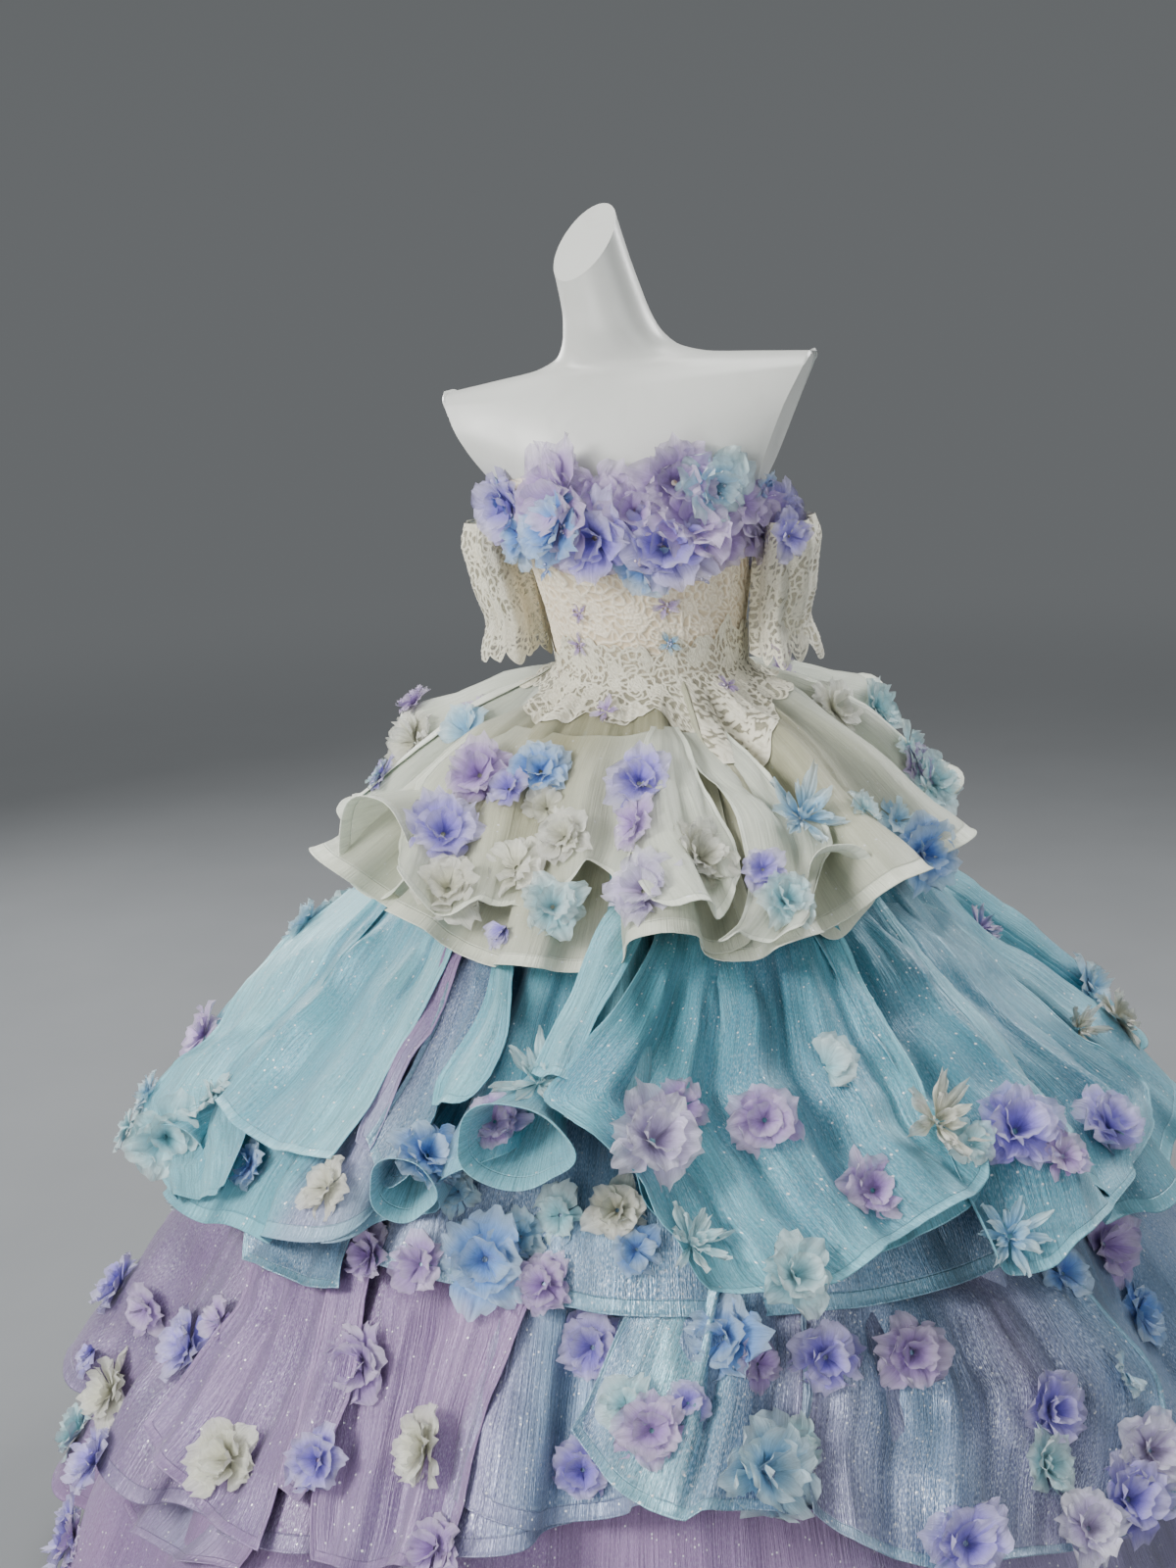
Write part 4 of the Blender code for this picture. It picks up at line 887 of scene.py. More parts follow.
def make_panel(context, row):
    """One wired panel: its tier's surface over the panel's angles, with laps over or under its neighbours,
    rounded lower corners where it lies over, and the cloth's creases."""
    node, start, end, over_from, over_to = row
    sizes = context.scene.gown_sizes
    tier_name = tier_of(node)
    tier = TIERS[tier_name]
    start, end = math.radians(start), math.radians(end)
    first, last = start - SIDE_REACH[over_from], end + SIDE_REACH[over_to]
    hem = tier_surface(tier)(np.linspace(first, last, HEM_PLACES), np.ones(HEM_PLACES))
    wide = float(path_length(hem))
    step = sizes.cloth_step * COARSER.get(tier_name, 1.0) * (BACK_COARSER if "_back" in node else 1.0)
    angle = np.linspace(first, last, int(wide / step) + 1)[None, :]
    length = smooth_around(tier["hem"], angle) - tier["top"]
    long = float(length.mean())
    rows = row_shares(tier_name, long, ROW_STRETCH * step)[:, None]
    cut, rise, side = 1.0, 0.0, np.inf
    for over, inwards, seam_past in (
        (over_from, angle - first, start - angle),
        (over_to, last - angle, angle - end),
    ):
        if over > 0:
            cut = cut - CORNER_UP * np.clip(1 - inwards / CORNER_WIDE, 0, 1) ** 2
            rise = rise + LAP_RISE * (1 - ease(inwards / LAP_SOFT))
            side = np.minimum(side, inwards)
        elif over < 0:
            rise = rise - UNDERLAP_SINK * ease(1 + seam_past / LAP)
    share = rows * cut
    angle = angle + 0 * share
    points, out = cloth_point(tier_name, angle, share, rise + 0 * share)
    to_hem = (cut - share) * length
    to_side = side * np.hypot(points[..., 0], points[..., 1])
    edge = np.minimum(to_hem, to_side)
    points = points + out * (HEM_BEAD * bell(edge, HEM_BEAD_WIDE))[..., None]
    paler, most = tier["fade"]
    dye = mix(dye_around(tier["dyes"], angle), DYES[paler], most * share**2)
    hem_radius = wide / (last - first)
    uv = stacked((angle - start) * hem_radius, share * length)
    piece = mesh_piece(
        node + "_cloth", points, grid_faces(*angle.shape), tier_finish(tier_name), uv=uv,
        numbers=[("edge", edge)], colours=[("dye", dye)],
    )
    thicken(piece, sizes.cloth)
    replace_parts(piece, node)
    area = float((path_length(points[::4]).mean()) * long)
    return piece


def make_tier(context, tier_name):
    for row in PANELS:
        if tier_of(row[0]) == tier_name:
            make_panel(context, row)


# ---- lace

CORD_WIDE = 0.0011  # half width of a cord
EDGE_CORD_WIDE = 0.0016  # of the one along an edge
CORD_WAVE = 0.017  # size of the cords' scrolls
SCROLL_WAVES = 14  # how many plane waves make them
MOTIF_SPACING = 0.03
MOTIF_PETALS = (5, 6, 7)
MOTIF_RADIUS = (0.0065, 0.0125)
MOTIF_LOBES = 0.22  # how far its petals stand out of its outline's circle, over the radius
MOTIF_RING = 0.38  # radius of its inner ring, over its own


def scrolls(across, up, seed):
    """Cords along the curves where a sum of plane waves is zero: exp(-(distance/width)^2), the distance being
    the sum over its slope."""
    rng = np.random.default_rng(seed)
    total, slope_x, slope_y = 0.0, 0.0, 0.0
    for _ in range(SCROLL_WAVES):
        heading, phase = rng.uniform(0, 2 * math.pi, 2)
        pace = 2 * math.pi / (CORD_WAVE * rng.uniform(*WAVE_SPREAD))
        turn = pace * (across * math.cos(heading) + up * math.sin(heading)) + phase
        total = total + np.sin(turn)
        slope_x = slope_x + np.cos(turn) * pace * math.cos(heading)
        slope_y = slope_y + np.cos(turn) * pace * math.sin(heading)
    distance = np.abs(total) / (np.hypot(slope_x, slope_y) + 1e-6)
    return bell(distance, CORD_WIDE)


def lace_cords(across, up, seed):
    """Height of the lace's cords, 0 to 1, at places in metres: scrolls, and over them round flowers whose
    outline is radius(1 + MOTIF_LOBES cos(petals angle)), with an inner ring and spokes."""
    height = np.maximum(scrolls(across, up, seed), 0.75 * scrolls(across, up, seed + 1))
    rng = np.random.default_rng(seed + 2)
    for x in np.arange(across.min(), across.max() + MOTIF_SPACING, MOTIF_SPACING):
        for y in np.arange(up.min(), up.max() + MOTIF_SPACING, MOTIF_SPACING):
            middle_x, middle_y = (x, y) + rng.uniform(-0.35, 0.35, 2) * MOTIF_SPACING
            radius = rng.uniform(*MOTIF_RADIUS)
            petals = rng.choice(MOTIF_PETALS)
            spin = rng.uniform(0, 2 * math.pi)
            near = np.hypot(across - middle_x, up - middle_y) < 1.5 * radius
            if not near.any():
                continue
            dx, dy = across[near] - middle_x, up[near] - middle_y
            reach, turn = np.hypot(dx, dy), np.arctan2(dy, dx) + spin
            outline = radius * (1 + MOTIF_LOBES * np.cos(petals * turn))
            rim, ring = bell(reach - outline, CORD_WIDE), bell(reach - MOTIF_RING * radius, CORD_WIDE)
            spokes = 0.8 * bell(np.sin(petals * turn / 2) * reach, CORD_WIDE) * (reach < outline)
            inside = np.clip((outline - reach) / CORD_WIDE, 0, 1)
            motif = np.maximum(np.maximum(rim, ring), np.maximum(spokes, 0.35 * inside))
            height[near] = np.where(inside > 0, motif, np.maximum(height[near], rim))
    return height


BODICE_PANELS = (
    # node, from, to
    ("bodice_front", -90, 90),
    ("bodice_back_left", 90, 180),
    ("bodice_back_right", 180, 270),
)
BODICE_ROUND = 0.112  # mean radius that turns an angle into metres on the bodice
LACE_OUT = 0.0017  # how far the cords stand off their net
SEAMS = (-62, -31, 31, 62, 118, 149, 211, 242)  # the corset's seams, over its bones
SEAM_OUT = 0.001
SEAM_WIDE = 0.0026
LACE_SEED = 50
BODICE_LACE = ("bodice_lace", linear(222, 204, 174), linear(252, 241, 218), 1.0)  # name, net, cord, alpha
SHEER_LACE = ("sheer_lace", linear(206, 200, 176), linear(238, 234, 214), 0.16)


def bodice_lace_point(angle, share):
    """Place on the bodice's lace, its cords' height there, and its place in metres on the cloth."""
    height = bodice_height(angle, share)
    across, up = angle * BODICE_ROUND, height
    cord = lace_cords(across, up, LACE_SEED)
    ridge = sum(bell((angle - math.radians(a)) * BODICE_ROUND, SEAM_WIDE) for a in SEAMS)
    out = torso_normals(angle, height)
    lifted = LACE_OUT * cord + SEAM_OUT * ridge
    return torso_surface(angle, height) + out * lifted[..., None], cord, stacked(across, up)


def make_bodice_panel(context, node, start, end):
    """A corset panel: the torso's outer face, with corded lace raised on it and ridges over the bones."""
    step = context.scene.gown_sizes.lace_step
    if "_back" in node:
        step = step * BACK_COARSER
    wide = math.radians(end - start) * BODICE_ROUND
    long = float(np.mean(column(NECKLINE, 1))) - WAIST_HEIGHT
    angle = np.radians(np.linspace(start, end, int(wide / step)))[None, :]
    share = np.linspace(1, 0, int(long / step))[:, None]
    points, cord, uv = bodice_lace_point(angle + 0 * share, share + 0 * angle)
    finish = finish_called(lace_finish, *BODICE_LACE)
    piece = mesh_piece(node + "_lace", points, grid_faces(*cord.shape), finish, uv=uv, numbers=[("cord", cord)])
    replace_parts(piece, node)


SLEEVE_LENGTH = 0.134
SLEEVE_ROUND = 0.3
SLEEVE_PLEATS = ((5, 0.0035, 0.4), (9, 0.0016, 1.9), (14, 0.0009, 4.0))  # how many round, how deep, turned by
SCALLOPS = 11
SCALLOP_DEEP = 0.012


def make_sleeve(context, node, side):
    """A gathered lace tube: elliptical rings between the sleeve's sections, with pleats as sums of cosines and
    a scalloped lower edge."""
    step = context.scene.gown_sizes.lace_step
    columns, rows = int(SLEEVE_ROUND / step), int(SLEEVE_LENGTH / step)
    turn = (np.arange(columns) * 2 * math.pi / columns)[None, :]
    down = np.linspace(0, 1, rows)[:, None]
    top, bottom = SLEEVE_SECTIONS[0][0], SLEEVE_SECTIONS[-1][0]
    ragged = crumple(stacked(0.05 * np.cos(turn), 0.05 * np.sin(turn), 0), 0.03, 80 + side)
    edge = bottom - SCALLOP_DEEP * (np.abs(np.cos(SCALLOPS * turn / 2)) ** 0.7 - 0.35 * ragged)
    height = top + down * (edge - top)
    from_low = SLEEVE_SECTIONS[::-1]
    half_width, half_depth, stand_off = (
        smooth_through(column(from_low, 0), column(from_low, k), height) for k in (1, 2, 3)
    )
    beside = torso_surface(side * math.pi / 2 + 0 * height, height)[..., 0]
    middle = beside + side * (BAND_THICK + 2 * GAP + stand_off + half_width)
    pleat = sum(deep * np.cos(count * turn + by + 1.2 * side * down) for count, deep, by in SLEEVE_PLEATS)
    pleat = pleat - sum(deep for _, deep, _ in SLEEVE_PLEATS) * 0.5
    across, up = turn * SLEEVE_ROUND / (2 * math.pi) + 0 * height, height
    cord = lace_cords(across, up, LACE_SEED + 10 + side)
    cord = np.maximum(cord, bell(height - edge, EDGE_CORD_WIDE))
    grow = pleat + LACE_OUT * 0.7 * cord
    x = middle - side * (half_width + grow) * np.cos(turn)
    y = (half_depth + grow) * np.sin(turn)
    piece = mesh_piece(
        node + "_lace", stacked(x, y, height), grid_faces(rows, columns, closed=True)[:, ::side],
        finish_called(lace_finish, *SHEER_LACE), uv=tube_uv(across, up, SLEEVE_ROUND),
        uv_faces=grid_faces(rows, columns + 1)[:, ::side], numbers=[("cord", cord)],
    )
    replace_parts(piece, node)


WAIST_LACE_DROP = (
    # angle, along the peplum
    (-150, 0.022), (-110, 0.03), (-75, 0.022), (-48, 0.046), (-32, 0.056), (-16, 0.03), (-4, 0.05),
    (8, 0.032), (20, 0.06), (34, 0.112), (46, 0.104), (60, 0.044), (78, 0.03), (105, 0.034),
    (150, 0.024), (180, 0.034),
)
WAIST_LACE_UP = 0.032  # how far it reaches up the bodice
WAIST_FILLET = 0.01  # it bridges the seam from this far above to this far below
WAIST_LACE_OFF = 0.0016
WAIST_SCALLOPS = 46
WAIST_SCALLOP_DEEP = 0.008
WAIST_LACE_ROWS = (20, 9, 34)  # up the bodice, over the seam, and down the peplum
WAIST_LACE_STEP = 1.2  # its points lie this many lace steps apart, on a ring of WAIST_LACE_REACH
WAIST_LACE_REACH = 0.15
WAIST_LACE_ROUND = 0.13  # radius that turns an angle into metres on it
WAIST_LACE_MEAN = 0.075  # its mean length from edge to edge


def make_waist_lace(context):
    """Lace laid over the waist seam: rows up the bodice and down the peplum's cloth, each edge scalloped by
    the absolute value of a cosine, and longer points at the front."""
    rows_up, rows_over, rows_down = WAIST_LACE_ROWS
    step = context.scene.gown_sizes.lace_step * WAIST_LACE_STEP
    columns = int(2 * math.pi * WAIST_LACE_REACH / step)
    angle = wrapped(np.arange(columns) * 2 * math.pi / columns)[None, :]
    scallop = 0.6 * np.abs(np.cos(WAIST_SCALLOPS * angle / 2)) ** 0.8 - 0.3
    uneven = crumple(stacked(0.3 * np.sin(angle), 0.3 * np.cos(angle), 0), 0.09, 71)
    up = np.linspace(1, 0, rows_up)[:, None]
    height = WAIST_HEIGHT + WAIST_FILLET + up * (WAIST_LACE_UP + WAIST_SCALLOP_DEEP * (scallop + 1.1 * uneven))
    out = torso_normals(angle + 0 * up, height)
    on_bodice = torso_surface(angle + 0 * up, height) + out * (WAIST_LACE_OFF + LACE_OUT)
    drop = smooth_around(WAIST_LACE_DROP, angle) + WAIST_SCALLOP_DEEP * (scallop + 0.9 * uneven)
    down = np.linspace(0, 1, rows_down)[:, None]
    along = WAIST_FILLET + down * drop
    share = along / smooth_around(PEPLUM["hem"], angle)
    on_peplum, _ = cloth_point("peplum", angle + 0 * share, share, WAIST_LACE_OFF + 0 * share)
    over = np.linspace(0, 1, rows_over + 2)[1:-1, None]
    over_seam = on_bodice[-1] + over[..., None] * (on_peplum[0] - on_bodice[-1])
    points = np.concatenate([on_bodice, over_seam, on_peplum])
    seam_up = WAIST_HEIGHT + WAIST_FILLET * (1 - 2 * over) + 0 * angle
    place_up = np.concatenate([height, seam_up, WAIST_HEIGHT - along])
    across = angle * WAIST_LACE_ROUND + 0 * place_up
    cord = lace_cords(across, place_up, LACE_SEED + 20)
    rim = np.concatenate([(1 - up) * WAIST_LACE_UP + 0 * height, 1 + 0 * over + 0 * angle, (1 - down) * drop])
    cord = np.maximum(cord, bell(rim, EDGE_CORD_WIDE))
    piece = mesh_piece(
        "waist_lace_cords", points, grid_faces(len(points), columns, closed=True),
        finish_called(lace_finish, *SHEER_LACE), uv=tube_uv(across, place_up, 2 * math.pi * WAIST_LACE_ROUND),
        uv_faces=grid_faces(len(points), columns + 1), numbers=[("cord", cord)],
    )
    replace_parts(piece, "waist_lace")
    float(path_length(points[::3]).mean() * WAIST_LACE_MEAN)


# ---- dress form

FORM_ROWS = ((FORM_BOTTOM, 1.24, 20), (1.24, 1.385, 34), (1.385, 1.43, 30), (1.43, 1.448, 6))  # from, to, rows
FORM_COLUMNS = (34, 10)  # in each quarter: on its round part, and on the flat cut beside it
CUT_FROM_SHARE = 0.93  # of a quarter turn: where the cut's columns start below the cut
NECK_ROWS_FROM = FORM_ROWS[-1][1]
NECK_STEEP = 1.6  # above the top of the cut
NECK_ROWS = 15
HALVINGS = 40  # that find where a column meets the cut
CUT_RINGS = (0.035, 0.35, 0.7, 1.0)  # shares of the way in across the cut's face
FOOT_RINGS = (1.0, 0.5)  # and across the bottom, from its middle
SHARP_FROM = math.radians(38)


def neck_top(angle):
    """Height at which each column of the neck meets the plane it is cut along, by halving."""
    low, high = np.full(angle.shape, NECK_ROWS_FROM), np.full(angle.shape, NECK_STEEP)
    point, normal = np.array(NECK_CUT_POINT), np.array(NECK_CUT_NORMAL)
    for _ in range(HALVINGS):
        middle = (low + high) / 2
        beyond = (form_point(angle, middle) - point) @ normal > 0
        low, high = np.where(beyond, low, middle), np.where(beyond, middle, high)
    return low


def form_point(angle, height):
    return torso_surface(angle, height) - (CLOTH + GAP) * torso_normals(angle, height)


def form_angles(height):
    """Columns round the form at a height: spread over the round front and back, and over the flat cuts at the
    sides, whose edges some of them follow."""
    half_width = smooth_through(column(TORSO, 0), column(TORSO, 1), height)
    reach = ARM_CUT_REACH + ARM_CUT_LEAN * (height - ARM_CUT_HEIGHT)
    share = np.clip(reach / half_width, 0, 1) if height > ARM_CUT_HEIGHT else 1.0
    corner = min(float(np.arcsin(share)), CUT_FROM_SHARE * math.pi / 2)
    front = corner * np.linspace(0, 1, FORM_COLUMNS[0] + 1)
    cut = corner + (math.pi / 2 - corner) * np.linspace(0, 1, FORM_COLUMNS[1] + 1)[1:]
    quarter = np.concatenate([front, cut])
    half = np.concatenate([quarter, math.pi - quarter[-2::-1]])
    return np.concatenate([half, 2 * math.pi - half[-2:0:-1]])


def make_form():
    """The torso form: rings from the hips to the neck, a slanted flat cut across it, and a flat bottom."""
    heights = np.unique(np.concatenate([np.linspace(*rows) for rows in FORM_ROWS]))
    angle = np.array([form_angles(h) for h in heights])
    body = form_point(angle, heights[:, None] + 0 * angle)
    body[0, :, 2] = FORM_BOTTOM
    ring = angle[-1]
    top = neck_top(ring)
    up = np.linspace(0, 1, NECK_ROWS + 1)[1:, None]
    neck = form_point(ring + 0 * up, NECK_ROWS_FROM + up * (top - NECK_ROWS_FROM))
    rim = neck[-1]
    middle = rim.mean(axis=0)
    cap = np.array([rim + (middle - rim) * k for k in CUT_RINGS])
    foot_middle = np.array((0.0, 0.0, FORM_BOTTOM))
    foot = np.array([body[0] + (foot_middle - body[0]) * k for k in FOOT_RINGS])
    points = np.concatenate([foot, body, neck, cap])[::-1]
    faces = grid_faces(*points.shape[:2], closed=True)
    piece = mesh_piece("form_shell", points, faces, finish_called(form_finish, "moulded_white"))
    close_seams(piece)
    piece.data.set_sharp_from_angle(angle=SHARP_FROM)
    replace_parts(piece, "form_body")
    for node, *finish in (
        ("form_pole", steel_finish, "drawn_steel"), ("form_base", base_finish, "powder_coat"),
    ):
        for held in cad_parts[node].material_slots:
            held.material = finish_called(*finish)


def close_seams(piece):
    """Merges points that lie on each other, so that poles are single points."""
    work = bmesh.new()
    work.from_mesh(piece.data)
    bmesh.ops.remove_doubles(work, verts=work.verts, dist=1e-6)
    work.to_mesh(piece.data)
    work.free()


# ---- flowers

PETAL_ROWS = 6
PETAL_COLUMNS = 7
BLOOMS = {
    # dye of the heart, of the petals' middle and of their rims; the rims are paler partly as painted light that
    #     # shines through the thin petals, and all the tones are lightened for the same reason
    "violet": (linear(118, 104, 214), linear(162, 150, 236), linear(210, 204, 246)),
    "blue": (linear(76, 124, 216), linear(126, 174, 236), linear(190, 218, 246)),
    "sky": (linear(120, 184, 230), linear(172, 218, 244), linear(216, 240, 250)),
    "lilac": (linear(158, 122, 200), linear(192, 164, 224), linear(222, 208, 240)),
    "pink": (linear(186, 166, 212), linear(212, 202, 236), linear(232, 230, 248)),
    "aqua": (linear(144, 210, 222), linear(190, 232, 240), linear(222, 246, 248)),
    "ivory": (linear(202, 202, 176), linear(224, 224, 206), linear(240, 240, 230)),
}
SHAPES = {
    # layers of petals, outermost first: (petals, length, width, lift in degrees, curl back, cup)
    "full": ((6, 1, 0.95, 12, 0.1, 0.14), (5, 0.88, 0.92, 34, 0.12, 0.2), (4, 0.66, 0.76, 56, 0.05, 0.26)),
    "open": ((5, 1, 1.05, 10, 0.08, 0.12), (4, 0.74, 0.8, 38, 0.1, 0.22)),
    "spiky": ((7, 1, 0.3, 24, -0.1, 0.1), (6, 0.8, 0.26, 48, 0.1, 0.1), (4, 0.55, 0.3, 70, 0, 0.2)),
    "fan": ((4, 1, 0.9, 26, 0.16, 0.1), (4, 0.8, 0.74, 46, 0.12, 0.14)),
    "star": ((5, 1, 0.42, 18, 0.05, 0.1),),
}
FAN_TURN = math.radians(150)  # a fan's petals spread over this much of a turn
FOOT_SHARE = 0.06  # radius of the sewn heart over the flower's
RUFFLE = 0.095  # waves of a petal's rim, over the petal's length
PLEAT = 0.045  # gathers that run from its foot to its rim


def petal_blades(rng, shape, radius):
    """All petals of one flower about +Z, as arrays petal by row by column.

    Across u runs -1 to 1 and along v 0 to 1. The half width grows with ease(v / 0.65), and past 0.6 it rounds
    off: the square root of 1 less 0.55 of the square of what is left. The length is shortened by u squared,
    which rounds the rim, and varied by sines of u. The petal rises by lift, curls back with v cubed, is cupped
    by u squared, ruffled by sines of u that grow with v, and gathered by the absolute value of a sine of u."""
    rows = [(layer, k) for layer in SHAPES[shape] for k in range(layer[0])]
    count, length, width, lift, curl, cup = (
        np.array([layer[k] for layer, _ in rows], float)[:, None, None] for k in range(6)
    )
    number = np.array([k for _, k in rows], float)[:, None, None]
    offset = np.array([0.5 * SHAPES[shape].index(layer) for layer, _ in rows])[:, None, None]

    def wild(spread):
        return rng.uniform(-spread, spread, (len(rows), 1, 1))

    u = np.linspace(-1, 1, PETAL_COLUMNS)[None, None, :]
    v = np.linspace(0, 1, PETAL_ROWS)[None, :, None]
    turn_all = FAN_TURN if shape == "fan" else 2 * math.pi
    spin = (number + offset) * turn_all / count + wild(0.28)
    length = length * (1 + wild(0.18))
    width = width * (1 + wild(0.2))
    lift = np.radians(lift) + wild(0.24)
    broad = width * (0.14 + 0.86 * ease(v / 0.65)) * np.sqrt(1 - 0.55 * np.clip((v - 0.6) / 0.4, 0, 1) ** 2) / 2
    lobes = 0.05 * np.sin(2.2 * math.pi * u + 9 * wild(1)) + 0.04 * np.sin(4.1 * math.pi * u + 9 * wild(1))
    reach = length * v * (1 - 0.22 * u * u * v + lobes * v * v)
    sideways = u * broad * (1 + wild(0.08) * v)
    ruffle = np.sin(2.2 * math.pi * u + 9 * wild(1)) + 0.4 * np.sin(4.4 * math.pi * u + 3 * v + 9 * wild(1))
    gather = (np.abs(np.sin(4.7 * u + 9 * wild(1))) - 0.5) * np.sin(math.pi * v) ** 0.5
    wave = length * (RUFFLE * v**1.6 * ruffle + PLEAT * gather)
    up = reach * np.sin(lift) - curl * v**3 + cup * u * u * v * width + wave
    out = FOOT_SHARE + reach * np.cos(lift) - 0.25 * wave
    x = out * np.cos(spin) - sideways * np.sin(spin)
    y = out * np.sin(spin) + sideways * np.cos(spin)
    shade = 1 + wild(0.12)
    tint = np.clip(v + 0.1 * np.abs(u) + wild(0.22), 0, 1)
    return stacked(x, y, up) * radius, tint, shade, stacked(u * width * 2 + number, v)


class Posy:
    """Gathers the petals of many flowers, and then makes them one piece."""

    def __init__(self, seed):
        self.seed = seed
        self.rng = np.random.default_rng(seed)
        self.points, self.dyes, self.uvs = [], [], []

    def add(self, place, outward, radius, bloom, shape="full", spin=None):
        points, tint, shade, uv = petal_blades(self.rng, shape, radius)
        spin = self.rng.uniform(0, 2 * math.pi) if spin is None else spin
        stand = Vector(outward).to_track_quat("Z", "Y").to_matrix() @ Matrix.Rotation(spin, 3, "Z")
        self.points.append(points @ np.array(stand).T + np.asarray(place))
        heart, middle, rim = (np.array(c) for c in BLOOMS[bloom])
        dye = mix(mix(heart, middle, ease(tint / 0.55)), rim, ease((tint - 0.5) / 0.5)) * shade[..., None]
        self.dyes.append(np.clip(dye, 0, 1))
        self.uvs.append(uv)

    def make(self, name):
        points, dyes, uvs = (np.concatenate(rows) for rows in (self.points, self.dyes, self.uvs))
        faces = repeated_faces(len(points), PETAL_ROWS, PETAL_COLUMNS)
        finish = finish_called(petal_finish, "petal_organza")
        piece = mesh_piece(name, points, faces, finish, uv=uvs, colours=[("dye", dyes)])
        return piece


# ---- camera, and what it sees

CAMERA_PLACE = (2.3 * math.sin(math.radians(13)), -2.3 * math.cos(math.radians(13)), 1.55)
CAMERA_PAN = math.radians(13 + 1.88)
CAMERA_PITCH = math.radians(90 - 14.5)
CAMERA_ROLL = math.radians(-2.5)
CAMERA_LENS = 49.5
SENSOR = 36.0  # of the frame's long side, which is upright
FRAME_WIDE = 1200
FRAME_TALL = 1600


def camera_turn():
    pan, pitch = Matrix.Rotation(CAMERA_PAN, 3, "Z"), Matrix.Rotation(CAMERA_PITCH, 3, "X")
    return pan @ pitch @ Matrix.Rotation(CAMERA_ROLL, 3, "Z")


def sight(across, down):
    """Direction in which the camera sees a place in its frame, FRAME_WIDE by FRAME_TALL."""
    scale = SENSOR / CAMERA_LENS / FRAME_TALL
    ahead = Vector(((across - FRAME_WIDE / 2) * scale, (FRAME_TALL / 2 - down) * scale, -1))
    return (camera_turn() @ ahead).normalized()


SLIDE = 5  # how far a flower that misses the gown moves in towards its middle, each time
SLIDES = 16
MIDDLE_ACROSS = 650


def seen_place(trees, across, down):
    """(place, outward) where the camera's sight first meets the gown. A sight that just misses is moved in."""
    origin = Vector(CAMERA_PLACE)
    for _ in range(SLIDES):
        hits = [tree.ray_cast(origin, sight(across, down)) for tree in trees]
        hits = [hit for hit in hits if hit[0] is not None]
        if hits:
            place, outward, _, _ = min(hits, key=lambda hit: hit[3])
            if outward.dot(origin - place) < 0:
                outward = -outward
            return np.array(place), np.array(outward)
        across += SLIDE if across < MIDDLE_ACROSS else -SLIDE
    raise RuntimeError(f"no cloth is seen near {across}, {down}")


def cloth_trees(words):
    """Search trees of the shown pieces whose names hold one of the words."""
    graph = bpy.context.evaluated_depsgraph_get()
    found = [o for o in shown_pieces() if any(word in o.name for word in words)]
    return [BVHTree.FromObject(o, graph) for o in found]


# ---- drapes and trumpets laid over the tiers

ALONG_STEPS = np.linspace(0.06, 1.36, 230)
ANGLE_STEPS = np.radians(np.linspace(-128, 128, 460))
SAME_PLACE = 5.0  # frame places this near to each other are one place
MOST_SHARE = 1.22  # a drape may hang this far down its tier
DRAPE_SEED = 200
DRAPE_BILLOW = 0.5 * BILLOW  # a drape hangs smoother than its tier
DRAPE_BILLOWS_APART = 0.09
DRAPE_RIDGES_APART = 0.048
PATH_POINTS = 200  # of a drape's edge
ROUGH_POINTS = 40  # each way on the rough drape whose sizes give the fine one's steps
LEAST_SHARE_CUT = 0.31  # of the rectangle that a drape is cut from
STAND = 0.0036  # how far each layer of drapes stands off the one under it
EDGE_LIFT = 0.0045  # a wired edge springs up by this
EDGE_SOFT = 0.016
SIDE_EDGE = 3.2  # how much narrower than the tiers' hem band a drape's band is at its sides, and at its hem
HEM_EDGE = 1.7
EDGE_ROWS = np.array((0.0, 0.0016, 0.0034, 0.006, 0.0095))  # rows and columns close to an edge

